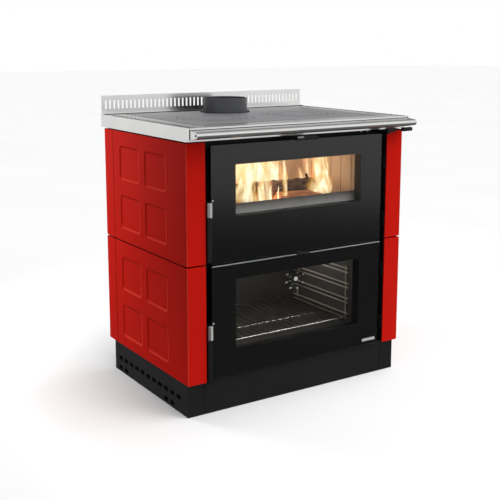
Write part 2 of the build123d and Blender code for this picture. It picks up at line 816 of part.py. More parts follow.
def door_seal(bottom, top):
    """Rope seal between the door frame and the face frame."""
    width = 2 * (frame_half - seal_inset)
    height = top - bottom - 2 * (door_frame_inset + seal_inset)
    with BuildPart() as seal:
        with BuildSketch(Plane.XZ.offset(-door_back - seal_clearance)):
            with Locations((0, (bottom + top) / 2)):
                RectangleRounded(width, height, 2 * seal_width)
                RectangleRounded(
                    width - 2 * seal_width,
                    height - 2 * seal_width,
                    seal_width,
                    mode=Mode.SUBTRACT,
                )
        extrude(amount=2 * seal_clearance - seal_gap)
        fillet(seal.edges().group_by(Axis.Y)[0], seal_radius)
        fillet(seal.edges().group_by(Axis.Y)[-1], seal_radius)
    return seal


def door_brackets(heights, pivot_z):
    """Knuckles that turn on the hinge pins, and the bracket with the handle's pin."""
    bracket_front = glass_back + hinge_axial_play
    with BuildPart() as brackets:
        for z in heights:
            level = (z, z + hinge_barrel_height)
            bar_z(hinge_x, hinge_y, level, hinge_barrel_radius)
            arm_back = hinge_y + hinge_barrel_radius
            slab((frame_half, hinge_x), (arm_back - hinge_arm, arm_back), level)
            bar_z(hinge_x, hinge_y, level, hinge_pin_radius + hinge_pin_play, mode=Mode.SUBTRACT)
        slab(
            (-frame_half - handle_bracket_reach, -frame_half),
            (bracket_front, bracket_front + handle_bracket_depth),
            (pivot_z - handle_bracket_height / 2, pivot_z + handle_bracket_height / 2),
        )
        bar_x((handle_limits[0], -frame_half), handle_pivot_y, pivot_z, handle_pin_radius)
    return brackets


def handle_root(pivot_z):
    """Steel root of a handle: its pivot bore in front, its latch tongue behind."""
    root_y = (shell_front - handle_proud, shell_front - handle_proud + handle_root_depth)
    root_z = (pivot_z - handle_root_below, pivot_z + handle_root_above)
    tongue_x = (handle_x - latch_tongue_width / 2, handle_x + latch_tongue_width / 2)
    tongue_top = pivot_z - latch_tongue_drop
    tongue_y = (root_y[1] - handle_edge_radius, face_front - latch_tongue_gap)
    with BuildPart() as root:
        slab(handle_limits, root_y, root_z)
        fillet(root.edges().filter_by(Axis.X), handle_edge_radius)
        slab(tongue_x, tongue_y, (tongue_top - latch_tongue_height, tongue_top))
        bar_x(handle_limits, handle_pivot_y, pivot_z, handle_pin_radius + handle_pin_play, mode=Mode.SUBTRACT)
    return root


def handle_grip(pivot_z):
    """Black grip below the handle's root."""
    top = pivot_z - handle_root_below
    with BuildPart() as grip:
        slab(
            handle_limits,
            (shell_front - handle_proud, shell_front - handle_proud + grip_depth),
            (top - grip_length, top),
        )
        fillet(grip.edges().filter_by(Axis.Z), grip_edge_radius)
        fillet(grip.faces().sort_by(Axis.Z)[0].edges(), grip_edge_radius / 2)
    return grip


def hinge_heights(bottom, top):
    """Lower ends of a door's two hinge barrels."""
    return (bottom + hinge_end_margin, top - hinge_end_margin - hinge_barrel_height)


fire_window = (fire_window_bottom, fire_window_top)
oven_window = (oven_window_bottom, oven_window_top)
doors = {
    "fire_door": (fire_door_bottom, fire_door_top, fire_window, fire_handle_z),
    "oven_door": (oven_door_bottom, oven_door_top, oven_window, oven_handle_z),
}
for door, (door_bottom, door_top, door_window, pivot_height) in doors.items():
    keep(door_glass(door_bottom, door_top), f"{door}_glass")
    keep(door_frame(door_bottom, door_top, door_window), f"{door}_frame")
    keep(door_inner_glass(door_window), f"{door}_inner_glass")
    keep(door_seal(door_bottom, door_top), f"{door}_seal")
    keep(door_brackets(hinge_heights(door_bottom, door_top), pivot_height), f"{door}_brackets")
    keep(handle_root(pivot_height), f"{door}_handle_root")
    keep(handle_grip(pivot_height), f"{door}_handle_grip")

all_hinges = hinge_heights(fire_door_bottom, fire_door_top) + hinge_heights(oven_door_bottom, oven_door_top)
with BuildPart() as hinge_posts:
    for z in all_hinges:
        post_z = (z - hinge_axial_play - hinge_barrel_height, z - hinge_axial_play)
        post_x = (hinge_x - hinge_post_width / 2, hinge_x + hinge_post_width / 2)
        bar_z(hinge_x, hinge_y, post_z, hinge_barrel_radius)
        slab(post_x, (hinge_y, face_front), post_z)
        bar_z(hinge_x, hinge_y, (post_z[0], z + hinge_barrel_height), hinge_pin_radius)
keep(hinge_posts, "hinge_posts")

retainer_half = window_width / 2 + retainer_rim
retainer_z = (fire_window_bottom - retainer_rim, fire_window_top + retainer_rim)
with BuildPart() as fire_door_retainer:
    retainer_front = door_back + inner_glass_thickness
    retainer_y = (retainer_front, retainer_front + retainer_thickness)
    slab((-retainer_half, retainer_half), retainer_y, retainer_z)
    slab(
        (retainer_side - retainer_half, retainer_half - retainer_side),
        retainer_y,
        (retainer_z[0] + retainer_foot, retainer_z[1] - retainer_side),
        mode=Mode.SUBTRACT,
    )
keep(fire_door_retainer, "fire_door_retainer")

dial_z = oven_window_top - dial_head_gap - dial_radius
dial_front = door_back - dial_thickness
needle_back = dial_front - needle_seat_play
with BuildPart() as oven_thermometer:
    bar_y(0, (dial_front, door_back), dial_z, dial_radius)
    bar_y(0, (dial_front - dial_spindle_length, dial_front), dial_z, dial_spindle_radius)
keep(oven_thermometer, "oven_thermometer")

with BuildPart() as thermometer_needle:
    with BuildSketch(Plane.XZ.offset(-needle_back)):
        with Locations(Location((0, dial_z), needle_rest_angle)):
            Rectangle(needle_width, needle_length, align=(Align.CENTER, Align.MIN))
    extrude(amount=needle_thickness)
    bar_y(0, (needle_back - needle_hub_thickness, needle_back), dial_z, needle_hub_radius)
    spindle_bore = dial_spindle_radius + needle_play
    bar_y(0, (needle_back - needle_hub_thickness, needle_back), dial_z, spindle_bore, mode=Mode.SUBTRACT)
keep(thermometer_needle, "thermometer_needle")

with BuildPart() as badge_plate:
    badge_right = door_half - badge_side_margin
    badge_bottom = oven_door_bottom + badge_foot_margin
    slab(
        (badge_right - badge_width, badge_right),
        (shell_front - badge_thickness, shell_front),
        (badge_bottom, badge_bottom + badge_height),
    )
keep(badge_plate, "badge_plate")

# Firebox
outlet_z = (control_z - outlet_height / 2, control_z + outlet_height / 2)
shell_half_width = lining_half + shell_steel
grate_hole_x = (grate_bar_pitch * (grate_bar_count - 1) + grate_bar_width) / 2 + grate_end_gap
grate_hole_y = grate_depth / 2 - grate_lap
with BuildPart() as firebox_shell:
    inside_x = (-lining_half, lining_half)
    inside_y = (face_back, fire_shell_y)
    slab((-shell_half_width, shell_half_width), (face_back, fire_back), (ash_floor - shell_steel, carcass_top))
    slab(inside_x, inside_y, (fire_floor, carcass_top), mode=Mode.SUBTRACT)
    slab(inside_x, inside_y, (ash_floor, fire_floor - shell_steel), mode=Mode.SUBTRACT)
    slab(
        (-grate_hole_x, grate_hole_x),
        (grate_y - grate_hole_y, grate_y + grate_hole_y),
        (fire_floor - shell_steel, fire_floor),
        mode=Mode.SUBTRACT,
    )
    slab((-outlet_width / 2, outlet_width / 2), (fire_shell_y, fire_back), outlet_z, mode=Mode.SUBTRACT)
keep(firebox_shell, "firebox_shell")

with BuildPart() as firebricks:
    brick_z = (fire_floor, brick_top)
    side_brick = (firebox_half, lining_half)
    for brick_x in (side_brick, mirrored(side_brick)):
        slab(brick_x, (face_back, grate_y - brick_joint / 2), brick_z)
        slab(brick_x, (grate_y + brick_joint / 2, fire_brick_y - brick_joint), brick_z)
    for brick_x in ((-lining_half, -brick_joint / 2), (brick_joint / 2, lining_half)):
        slab(brick_x, (fire_brick_y, fire_shell_y), brick_z)
keep(firebricks, "firebricks")

with BuildPart() as fire_grate:
    with Locations((0, grate_y, fire_floor + grate_thickness / 2)):
        with GridLocations(grate_bar_pitch, 0, grate_bar_count, 1):
            Box(grate_bar_width, grate_depth, grate_thickness)
keep(fire_grate, "fire_grate")

drawer_half = ash_opening_width / 2 - drawer_play
with BuildPart() as ash_drawer:
    drawer_z = (ash_floor, ash_floor + drawer_height)
    slab((-drawer_half, drawer_half), (face_front, face_front + drawer_depth), drawer_z)
    slab(
        (drawer_wall - drawer_half, drawer_half - drawer_wall),
        (face_front + drawer_wall, face_front + drawer_depth - drawer_wall),
        (ash_floor + drawer_wall, drawer_z[1]),
        mode=Mode.SUBTRACT,
    )
    slab(
        (-drawer_pull_width / 2, drawer_pull_width / 2),
        (face_front - drawer_pull_reach, face_front),
        (ash_floor + drawer_pull_rise, ash_floor + drawer_pull_rise + drawer_pull_height),
    )
keep(ash_drawer, "ash_drawer")

# Oven
with BuildPart() as oven_liner:
    slab(
        (-oven_half - sheet, oven_half + sheet),
        (face_back, face_back + oven_depth + sheet),
        (oven_bottom - sheet, oven_top + sheet),
    )
    slab(
        (-oven_half, oven_half),
        (face_back, face_back + oven_depth),
        (oven_bottom, oven_top),
        mode=Mode.SUBTRACT,
    )
keep(oven_liner, "oven_liner")

rack_post_x = oven_half - rack_standoff - wire_radius
rack_rail_x = rack_post_x - 2 * wire_radius + rack_weld
rack_y = (face_back + rack_front, face_back + rack_front + rack_length)
rack_levels = [oven_bottom + rack_first_level + rack_level_pitch * i for i in range(rack_level_count)]
with BuildPart() as oven_racks:
    for side in sides:
        post_z = (rack_levels[0] - rack_pair_spacing / 2, rack_levels[-1] + 1.5 * rack_pair_spacing)
        for y in (rack_y[0] + rack_post_inset, rack_y[1] - rack_post_inset):
            bar_z(side * rack_post_x, y, post_z, wire_radius)
        for level_z in rack_levels:
            for z in (level_z, level_z + rack_pair_spacing):
                bar_y(side * rack_rail_x, rack_y, z, wire_radius)
keep(oven_racks, "oven_racks")

shelf_z = rack_levels[0] + wire_radius + shelf_bar_radius + shelf_play
shelf_y = (face_back + shelf_front, face_back + shelf_front + shelf_depth)
shelf_x = rack_post_x - wire_radius - shelf_play - shelf_bar_radius
with BuildPart() as oven_shelf:
    for side in sides:
        bar_y(side * shelf_x, shelf_y, shelf_z, shelf_bar_radius)
    for y in (shelf_y[0] + shelf_bar_radius, shelf_y[1] - shelf_bar_radius):
        bar_x((-shelf_x, shelf_x), y, shelf_z, shelf_cross_radius)
    wire_pitch = 2 * shelf_x / (shelf_wire_count + 1)
    wire_y = (shelf_y[0] + shelf_bar_radius, shelf_y[1] - shelf_bar_radius)
    for i in range(shelf_wire_count):
        bar_y(wire_pitch * (i + 1) - shelf_x, wire_y, shelf_z, shelf_wire_radius)
keep(oven_shelf, "oven_shelf")


# Controls
def control_grip(start_x, length, limits_z):
    """Black grip lying along X at a control's eye."""
    with BuildPart() as grip:
        slab((start_x, start_x + length), control_grip_y, limits_z)
        fillet(grip.edges().filter_by(Axis.X), control_grip_radius)
    return grip


with BuildPart() as flue_damper:
    seat_y = fire_back + damper_seat_play
    plate_reach = outlet_width / 2 + damper_plate_margin
    slab((damper_eye_left, damper_eye_right), control_grip_y, control_grip_z)
    bar_y(damper_x, (control_grip_y[0] + rod_radius, seat_y), control_z, rod_radius)
    slab(
        (-plate_reach, plate_reach),
        (seat_y, seat_y + damper_plate_thickness),
        (outlet_z[0] - damper_plate_margin, outlet_z[1] + damper_plate_margin),
    )
keep(flue_damper, "flue_damper")
keep(control_grip(damper_eye_right, damper_grip_length, control_grip_z), "flue_damper_grip")

valve_eye_x = (valve_x - valve_eye_width / 2, valve_x + valve_eye_width / 2)
with BuildPart() as air_valve:
    disc_y = face_back + valve_seat_play
    slab(valve_eye_x, control_grip_y, (control_grip_z[0], side_grip_z[1]))
    bar_y(valve_x, (control_grip_y[0] + rod_radius, disc_y), control_z, rod_radius)
    bar_y(valve_x, (disc_y, disc_y + valve_disc_thickness), control_z, valve_disc_radius)
keep(air_valve, "air_valve")

keep(control_grip(valve_eye_x[1], valve_grip_length, side_grip_z), "air_valve_grip")

lever_grip_x = shell_half - lever_grip_right_inset - lever_grip_length
lever_eye_y = (control_grip_y[0] + control_grip_y[1]) / 2
with BuildPart() as draught_lever:
    with BuildSketch(Plane.XY.offset(lever_z[0])):
        with Locations((lever_pivot_x, lever_pivot_y)):
            Circle(lever_boss_radius)
        with Locations((lever_grip_x - lever_eye_width / 2, lever_eye_y)):
            Circle(lever_end_radius)
        make_hull()
        with Locations((lever_pivot_x, lever_pivot_y)):
            Circle(lever_stud_radius + lever_stud_play, mode=Mode.SUBTRACT)
    extrude(amount=lever_z[1] - lever_z[0])
    slab((lever_grip_x - lever_eye_width, lever_grip_x), control_grip_y, side_grip_z)
keep(draught_lever, "draught_lever")

keep(control_grip(lever_grip_x, lever_grip_length, side_grip_z), "draught_lever_grip")

blade_half = slide_blade_width / 2
blade_z = (door_split_height - slide_blade_thickness / 2, door_split_height + slide_blade_thickness / 2)
with BuildPart() as air_slide:
    shutter_front = face_back + slide_shutter_play
    slab((-blade_half, blade_half), (shell_front - slide_reach - slide_grip_depth, shutter_front), blade_z)
    slab(
        (-slide_shutter_width / 2, slide_shutter_width / 2),
        (shutter_front, shutter_front + slide_shutter_thickness),
        (door_split_height - slide_shutter_height / 2, door_split_height + slide_shutter_height / 2),
    )
    slab(
        (-slide_grip_length / 2, slide_grip_length / 2),
        (shell_front - slide_reach - slide_grip_depth, shell_front - slide_reach),
        (door_split_height - slide_grip_thickness / 2, door_split_height + slide_grip_thickness / 2),
    )
keep(air_slide, "air_slide")
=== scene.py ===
import json
import math

import bmesh
import bpy
from mathutils import Matrix, Vector

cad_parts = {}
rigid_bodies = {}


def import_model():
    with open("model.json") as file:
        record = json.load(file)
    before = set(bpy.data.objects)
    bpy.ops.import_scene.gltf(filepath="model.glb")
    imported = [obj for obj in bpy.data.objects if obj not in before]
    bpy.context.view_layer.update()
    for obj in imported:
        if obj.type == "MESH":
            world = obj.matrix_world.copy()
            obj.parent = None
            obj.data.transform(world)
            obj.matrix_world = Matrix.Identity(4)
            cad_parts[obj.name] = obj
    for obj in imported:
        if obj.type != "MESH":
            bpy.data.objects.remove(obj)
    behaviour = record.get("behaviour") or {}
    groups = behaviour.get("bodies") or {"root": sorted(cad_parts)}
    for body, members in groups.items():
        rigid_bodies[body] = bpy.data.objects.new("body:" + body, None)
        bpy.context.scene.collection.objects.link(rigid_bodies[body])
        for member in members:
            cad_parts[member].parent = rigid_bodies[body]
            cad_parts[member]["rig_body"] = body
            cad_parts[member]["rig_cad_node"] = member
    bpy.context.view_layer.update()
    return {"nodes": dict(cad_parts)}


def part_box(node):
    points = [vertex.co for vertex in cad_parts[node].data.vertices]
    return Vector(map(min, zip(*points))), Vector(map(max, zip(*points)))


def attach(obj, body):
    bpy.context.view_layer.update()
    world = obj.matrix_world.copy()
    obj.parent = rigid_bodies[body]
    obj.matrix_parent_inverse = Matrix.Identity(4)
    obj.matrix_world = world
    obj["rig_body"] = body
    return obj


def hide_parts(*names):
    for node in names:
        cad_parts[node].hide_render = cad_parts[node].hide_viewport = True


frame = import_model()
nodes = frame["nodes"]
MM = 0.001
SIDES = (-1, 1)
ALONG_X = (0, math.pi / 2, 0)
ALONG_Y = (math.pi / 2, 0, 0)
# Faces that meet at less than this are shaded as one, in degrees
SMOOTH_ANGLE = 35
# A face looks along an axis when its normal has more than this share on it
SQUARE_ON = 0.9


# Working by hand: choosing, editing and finishing a piece


def put_down():
    """Leaves edit mode and lets go of everything that is selected."""
    if bpy.context.object and bpy.context.object.mode != "OBJECT":
        bpy.ops.object.mode_set(mode="OBJECT")
    bpy.ops.object.select_all(action="DESELECT")


def take(piece):
    """Makes one piece the selected and active one."""
    put_down()
    piece.select_set(True)
    bpy.context.view_layer.objects.active = piece


def pick(piece, kind, test):
    """Goes into edit mode with the faces, edges or verts selected that pass the test."""
    take(piece)
    bpy.ops.object.mode_set(mode="EDIT")
    bpy.ops.mesh.select_mode(type={"faces": "FACE", "edges": "EDGE", "verts": "VERT"}[kind])
    bpy.ops.mesh.select_all(action="DESELECT")
    mesh = bmesh.from_edit_mesh(piece.data)
    for part in getattr(mesh, kind):
        part.select_set(test(part))
    mesh.select_flush_mode()
    bmesh.update_edit_mesh(piece.data)


def reach(edge):
    """How far an edge runs along X."""
    return abs(edge.verts[0].co.x - edge.verts[1].co.x)


def settle(piece):
    """Moves a piece's place, turn and scale into its mesh."""
    take(piece)
    bpy.ops.object.transform_apply(location=True, rotation=True, scale=True)


def box(name, x, y, z):
    """Box between two limits on each axis, in millimetres: the start of a piece."""
    put_down()
    limits = [Vector(pair) * MM for pair in (x, y, z)]
    bpy.ops.mesh.primitive_cube_add(size=1, location=[(low + high) / 2 for low, high in limits])
    piece = bpy.context.object
    piece.name = name
    piece.scale = [high - low for low, high in limits]
    settle(piece)
    return piece


def rod(name, place, radius, length, turn=(0, 0, 0), sides=32):
    """Round bar about its middle, along Z before it is turned, in millimetres: the start of a piece."""
    put_down()
    bpy.ops.mesh.primitive_cylinder_add(
        vertices=sides, radius=radius * MM, depth=length * MM, location=Vector(place) * MM, rotation=turn)
    piece = bpy.context.object
    piece.name = name
    settle(piece)
    return piece


def change(piece, kind, **settings):
    """Adds a modifier and applies it."""
    take(piece)
    modifier = piece.modifiers.new(kind.title(), kind)
    for setting, value in settings.items():
        setattr(modifier, setting, value)
    bpy.ops.object.modifier_apply(modifier=modifier.name)


def smooth(piece, angle=SMOOTH_ANGLE):
    """Shades a piece smooth, except over edges sharper than an angle in degrees."""
    take(piece)
    bpy.ops.object.shade_smooth_by_angle(angle=math.radians(angle))


def round_edges(piece, radius, segments=2, angle=30):
    """Rounds the edges sharper than an angle and shades the piece smooth between them."""
    change(piece, "BEVEL", width=radius * MM, segments=segments, limit_method="ANGLE",
           angle_limit=math.radians(angle))
    smooth(piece)
    change(piece, "WEIGHTED_NORMAL", keep_sharp=True)


def join(name, pieces):
    """Joins pieces into one."""
    put_down()
    for piece in pieces:
        piece.select_set(True)
    bpy.context.view_layer.objects.active = pieces[0]
    bpy.ops.object.join()
    pieces[0].name = name
    return pieces[0]


def eased(node, radius, segments=2):
    """Copy of a solid with its sharp edges eased, as paint and handling leave them."""
    piece = nodes[node].copy()
    piece.data = nodes[node].data.copy()
    piece.name = node + "_eased"
    piece.parent = None
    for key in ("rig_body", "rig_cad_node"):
        if key in piece:
            del piece[key]
    bpy.context.scene.collection.objects.link(piece)
    pick(piece, "verts", lambda vert: True)
    bpy.ops.mesh.remove_doubles(threshold=0.01 * MM)
    bpy.ops.mesh.dissolve_limited(angle_limit=math.radians(0.5))
    put_down()
    round_edges(piece, radius, segments)
    return piece


def fit(piece, body, slot, material, *stands_for):
    """Gives a finished piece its material and body, and hides the solids that it stands for; slot is not
    used.
    """
    put_down()
    piece.data.materials.clear()
    piece.data.materials.append(material)
    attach(piece, body)
    if stands_for:
        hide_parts(*stands_for)


def dress(material, *names):
    """Gives solids from the frame their material."""
    for name in names:
        for slot in nodes[name].material_slots:
            slot.material = material


# Materials


def colour(code):
    """Linear colour of an sRGB hex value."""
    parts = [int(code[i:i + 2], 16) / 255 for i in (1, 3, 5)]
    return [c / 12.92 if c <= 0.04045 else ((c + 0.055) / 1.055) ** 2.4 for c in parts] + [1]


def per(mm):
    """Texture scale for features of that size in millimetres."""
    return 1 / (mm * MM)


def add(tree, kind, values={}, links={}, **settings):
    """Adds a shader node with its settings, its socket values and what is linked to it."""
    made = tree.nodes.new("ShaderNode" + kind)
    for setting, value in settings.items():
        setattr(made, setting, value)
    for socket, value in values.items():
        made.inputs[socket].default_value = value
    for socket, source in links.items():
        tree.links.new(source, made.inputs[socket])
    return made


def start(name, **sockets):
    """New material with a Principled shader, its even sockets set and its Object coordinates."""
    material = bpy.data.materials.new(name)
    material.use_nodes = True
    tree = material.node_tree
    tree.nodes.clear()
    shader = add(tree, "BsdfPrincipled", {key.replace("_", " "): value for key, value in sockets.items()})
    add(tree, "OutputMaterial", links={"Surface": shader.outputs["BSDF"]})
    place = add(tree, "TexCoord").outputs["Object"]
    return material, tree, shader, place


def feed(tree, shader, **sources):
    """Links sources to the shader's sockets."""
    for socket, source in sources.items():
        tree.links.new(source, shader.inputs[socket.replace("_", " ")])


def blend(tree, low, high, factor):
    """Colour between two hex values by a factor's output."""
    return add(tree, "Mix", {6: colour(low), 7: colour(high)}, {0: factor}, data_type="RGBA").outputs[2]


def clouded(name, low, high, grain, detail=2, **sockets):
    """Material whose colour drifts between two hex values in clouds of a size in millimetres."""
    material, tree, shader, place = start(name, **sockets)
    cloud = add(tree, "TexNoise", {"Scale": per(grain), "Detail": detail}, {"Vector": place})
    feed(tree, shader, Base_Color=blend(tree, low, high, cloud.outputs["Fac"]))
    return material


# Vitreous enamel on pressed steel: a deep even red with a low satin sheen and a faint orange peel.
red_enamel, tree, shader, place = start("red_vitreous_enamel", Roughness=0.3, Specular_IOR_Level=0.01)
cloud = add(tree, "TexNoise", {"Scale": per(140), "Detail": 2}, {"Vector": place})
peel = add(tree, "TexNoise", {"Scale": per(6), "Detail": 1}, {"Vector": place})
skin = add(tree, "Bump", {"Strength": 0.02, "Distance": 0.5 * MM}, {"Height": peel.outputs["Fac"]})
feed(tree, shader, Base_Color=blend(tree, "#9E120B", "#A9150D", cloud.outputs["Fac"]),
     Normal=skin.outputs["Normal"])

# Enamel on a bent corner with a painted highlight: lighter than the panel beside it.
corner_highlight_enamel = clouded("corner_painted_highlight", "#AE2216", "#BE3426", grain=60, Roughness=0.35,
                      Specular_IOR_Level=0.1)

# Enamel over a pressed slope with painted shade: darker on slopes that face down or forward, lighter on the
# others.
pressed_slope_painted_shade, tree, shader, place = start("pressed_enamel_painted_shade", Roughness=0.3, Specular_IOR_Level=0.01)
facing = add(tree, "SeparateXYZ", links={"Vector": add(tree, "TexCoord").outputs["Normal"]})
turned = add(tree, "Math", links={0: facing.outputs["Y"], 1: facing.outputs["Z"]}, operation="ADD")
painted_light_share = add(tree, "MapRange", {"From Min": -0.3, "From Max": 0.3}, {"Value": turned.outputs[0]})
feed(tree, shader, Base_Color=blend(tree, "#860E08", "#BA2E20", painted_light_share.outputs["Result"]))

# Powder-coated sheet: satin black with a fine pebbled skin. The pebbles are drawn at 1.6 mm, so they show.
black_paint, tree, shader, place = start("black_powder_coat", Roughness=0.45, Specular_IOR_Level=0.25)
cloud = add(tree, "TexNoise", {"Scale": per(90), "Detail": 3}, {"Vector": place})
pebble = add(tree, "TexNoise", {"Scale": per(1.6), "Detail": 1}, {"Vector": place})
rough = add(tree, "MapRange", {"To Min": 0.38, "To Max": 0.55}, {"Value": cloud.outputs["Fac"]})
skin = add(tree, "Bump", {"Strength": 0.08, "Distance": 0.3 * MM}, {"Height": pebble.outputs["Fac"]})
feed(tree, shader, Base_Color=blend(tree, "#0C0D0D", "#141515", cloud.outputs["Fac"]),
     Roughness=rough.outputs["Result"], Normal=skin.outputs["Normal"])


def brushed(name, along, smoothest, roughest, dull, bright):
    """Brushed stainless steel: pale, with fine streaks along one axis, drawn at 1.2 mm so they show."""
    material, tree, shader, place = start(name, Metallic=1)
    scales = [per(1.2)] * 3
    scales[along] = per(160)
    drawn = add(tree, "Mapping", {"Scale": scales}, {"Vector": place})
    streak = add(tree, "TexNoise", {"Scale": 1, "Detail": 3}, {"Vector": drawn.outputs["Vector"]})
    smear = add(tree, "TexNoise", {"Scale": per(110), "Detail": 2}, {"Vector": place})
    streak_share = 0.75
    mixed = add(tree, "Math", {1: streak_share}, {0: streak.outputs["Fac"], 2: smear.outputs["Fac"]},
                operation="MULTIPLY_ADD")
    rough = add(tree, "MapRange",
                {"From Min": 0.4, "From Max": 1.2, "To Min": smoothest, "To Max": roughest},
                {"Value": mixed.outputs[0]})
    skin = add(tree, "Bump", {"Strength": 0.02, "Distance": 0.2 * MM}, {"Height": streak.outputs["Fac"]})
    feed(tree, shader, Base_Color=blend(tree, dull, bright, streak.outputs["Fac"]),
         Roughness=rough.outputs["Result"], Normal=skin.outputs["Normal"])
    return material


X_AXIS, Z_AXIS = 0, 2
stainless = brushed("brushed_stainless", X_AXIS, smoothest=0.16, roughest=0.28, dull="#D6D6D5",
                    bright="#EAE9E8")
polished = brushed("polished_stainless", Z_AXIS, smoothest=0.1, roughest=0.2, dull="#ECECEB",
                   bright="#F8F8F7")
stainless_root = brushed("cast_stainless_handle", Z_AXIS, smoothest=0.26, roughest=0.38, dull="#8E8F8F",
                         bright="#AEAFAE")

# Ground cast iron: mid grey and satin, with fine grinding marks, faint heat clouds and soot along the
# rings' joints. They are circles about two places, a step apart from the lid outwards, in millimetres.
ring_x, ring_y = 157, -5
lid_groove, ring_step, ring_steps, joint_margin = 58, 21, 3, 4
line_half, line_fade, soot_share = 0.7, 1.8, 0.85
hob_iron, tree, shader, place = start("ground_cast_iron", Metallic=0.9)
drawn = add(tree, "Mapping", {"Scale": (per(70), per(1.5), per(1.5))}, {"Vector": place})
grind = add(tree, "TexNoise", {"Scale": 1, "Detail": 2}, {"Vector": drawn.outputs["Vector"]})
heat = add(tree, "TexNoise", {"Scale": per(180), "Detail": 3}, {"Vector": place})
rough = add(tree, "MapRange", {"To Min": 0.36, "To Max": 0.52}, {"Value": heat.outputs["Fac"]})
spot = add(tree, "SeparateXYZ", links={"Vector": place})
aside = add(tree, "Math", links={0: spot.outputs["X"]}, operation="ABSOLUTE")
across = add(tree, "Math", {1: -ring_x * MM}, {0: aside.outputs[0]}, operation="ADD")
deep = add(tree, "Math", {1: -ring_y * MM}, {0: spot.outputs["Y"]}, operation="ADD")
flat = add(tree, "CombineXYZ", links={"X": across.outputs[0], "Y": deep.outputs[0]})
radius = add(tree, "VectorMath", links={0: flat.outputs[0]}, operation="LENGTH").outputs["Value"]
past_lid = add(tree, "Math", {1: -lid_groove * MM}, {0: radius}, operation="ADD")
from_joint = add(tree, "Math", {1: ring_step / 2 * MM}, {0: past_lid.outputs[0]}, operation="PINGPONG")
line = add(tree, "MapRange", {
    "From Min": line_half * MM, "From Max": line_fade * MM, "To Min": soot_share, "To Max": 0,
}, {"Value": from_joint.outputs[0]})
outermost = lid_groove + ring_steps * ring_step + joint_margin
within = add(tree, "Math", {1: outermost * MM}, {0: radius}, operation="LESS_THAN")
outside = add(tree, "Math", {1: (lid_groove - joint_margin) * MM}, {0: radius}, operation="GREATER_THAN")
kept = add(tree, "Math", links={0: within.outputs[0], 1: outside.outputs[0]}, operation="MULTIPLY")
sooted = add(tree, "Math", links={0: line.outputs["Result"], 1: kept.outputs[0]}, operation="MULTIPLY")
iron = blend(tree, "#BCBDC0", "#D0D0D3", heat.outputs["Fac"])
marked = add(tree, "Mix", {7: colour("#1A1919")}, {0: sooted.outputs[0], 6: iron}, data_type="RGBA")
skin = add(tree, "Bump", {"Strength": 0.06, "Distance": 0.2 * MM}, {"Height": grind.outputs["Fac"]})
feed(tree, shader, Base_Color=marked.outputs[2], Roughness=rough.outputs["Result"],
     Normal=skin.outputs["Normal"])

# Cast iron with stove black: dark grey and dull, with the grain of the sand mould.
flue_iron, tree, shader, place = start("stove_blacked_cast_iron", Metallic=0.5)
sand = add(tree, "TexNoise", {"Scale": per(2.2), "Detail": 3}, {"Vector": place})
rough = add(tree, "MapRange", {"To Min": 0.3, "To Max": 0.44}, {"Value": sand.outputs["Fac"]})
skin = add(tree, "Bump", {"Strength": 0.18, "Distance": 0.5 * MM}, {"Height": sand.outputs["Fac"]})
feed(tree, shader, Base_Color=blend(tree, "#3A3B3D", "#4C4D50", sand.outputs["Fac"]),
     Roughness=rough.outputs["Result"], Normal=skin.outputs["Normal"])

# Galvanised sheet: pale zinc whose crystals, about 14 mm across, take the light each their own way.
galvanised, tree, shader, place = start("galvanised_sheet", Metallic=1)
spangle = add(tree, "TexVoronoi", {"Scale": per(14)}, {"Vector": place})
tint = add(tree, "SeparateColor", links={"Color": spangle.outputs["Color"]})
rough = add(tree, "MapRange", {"To Min": 0.32, "To Max": 0.5}, {"Value": tint.outputs["Green"]})
feed(tree, shader, Base_Color=blend(tree, "#9AA0A4", "#BCC0C2", tint.outputs["Red"]),
     Roughness=rough.outputs["Result"])

# Mild steel that has been in the fire: black-brown scale, dull, with ash dust.
firebox_steel, tree, shader, place = start("fire_scaled_steel", Metallic=0.4, Roughness=0.7)
scale = add(tree, "TexNoise", {"Scale": per(18), "Detail": 5}, {"Vector": place})
skin = add(tree, "Bump", {"Strength": 0.3, "Distance": 0.6 * MM}, {"Height": scale.outputs["Fac"]})
feed(tree, shader, Base_Color=blend(tree, "#1B1817", "#4A443F", scale.outputs["Fac"]),
     Normal=skin.outputs["Normal"])

# Oven enamel: grey-black glass with pale flecks. The flecks are drawn at 4 mm spacing so that they show.
oven_enamel, tree, shader, place = start("flecked_oven_enamel", Roughness=0.35)
fleck = add(tree, "TexVoronoi", {"Scale": per(4)}, {"Vector": place})
spot = add(tree, "MapRange", {"From Min": 0.12, "From Max": 0.2, "To Min": 1, "To Max": 0},
           {"Value": fleck.outputs["Distance"]})
feed(tree, shader, Base_Color=blend(tree, "#44423F", "#66635F", spot.outputs["Result"]))

# Vermiculite fire board: tan, crumbly and matt, sooted in clouds.
firebrick, tree, shader, place = start("vermiculite_board", Roughness=0.9)
grain = add(tree, "TexNoise", {"Scale": per(5), "Detail": 5}, {"Vector": place})
soot = add(tree, "TexNoise", {"Scale": per(120), "Detail": 3}, {"Vector": place})
veil = add(tree, "MapRange", {"From Min": 0.5, "From Max": 0.75, "To Max": 0.35},
           {"Value": soot.outputs["Fac"]})
board = blend(tree, "#B7A084", "#D8C6AC", grain.outputs["Fac"])
sooted = add(tree, "Mix", {7: colour("#4A3B2E")}, {0: veil.outputs["Result"], 6: board}, data_type="RGBA")
skin = add(tree, "Bump", {"Strength": 0.4, "Distance": 0.8 * MM}, {"Height": grain.outputs["Fac"]})
feed(tree, shader, Base_Color=sooted.outputs[2], Normal=skin.outputs["Normal"])

# Seam black: painted shadow in gaps and holes, and the sealant of the rope round the hob plate; dead matt.
seam_black = clouded("sealant_and_painted_shadow", "#080808", "#121111", grain=8, Roughness=1, Specular_IOR_Level=0)

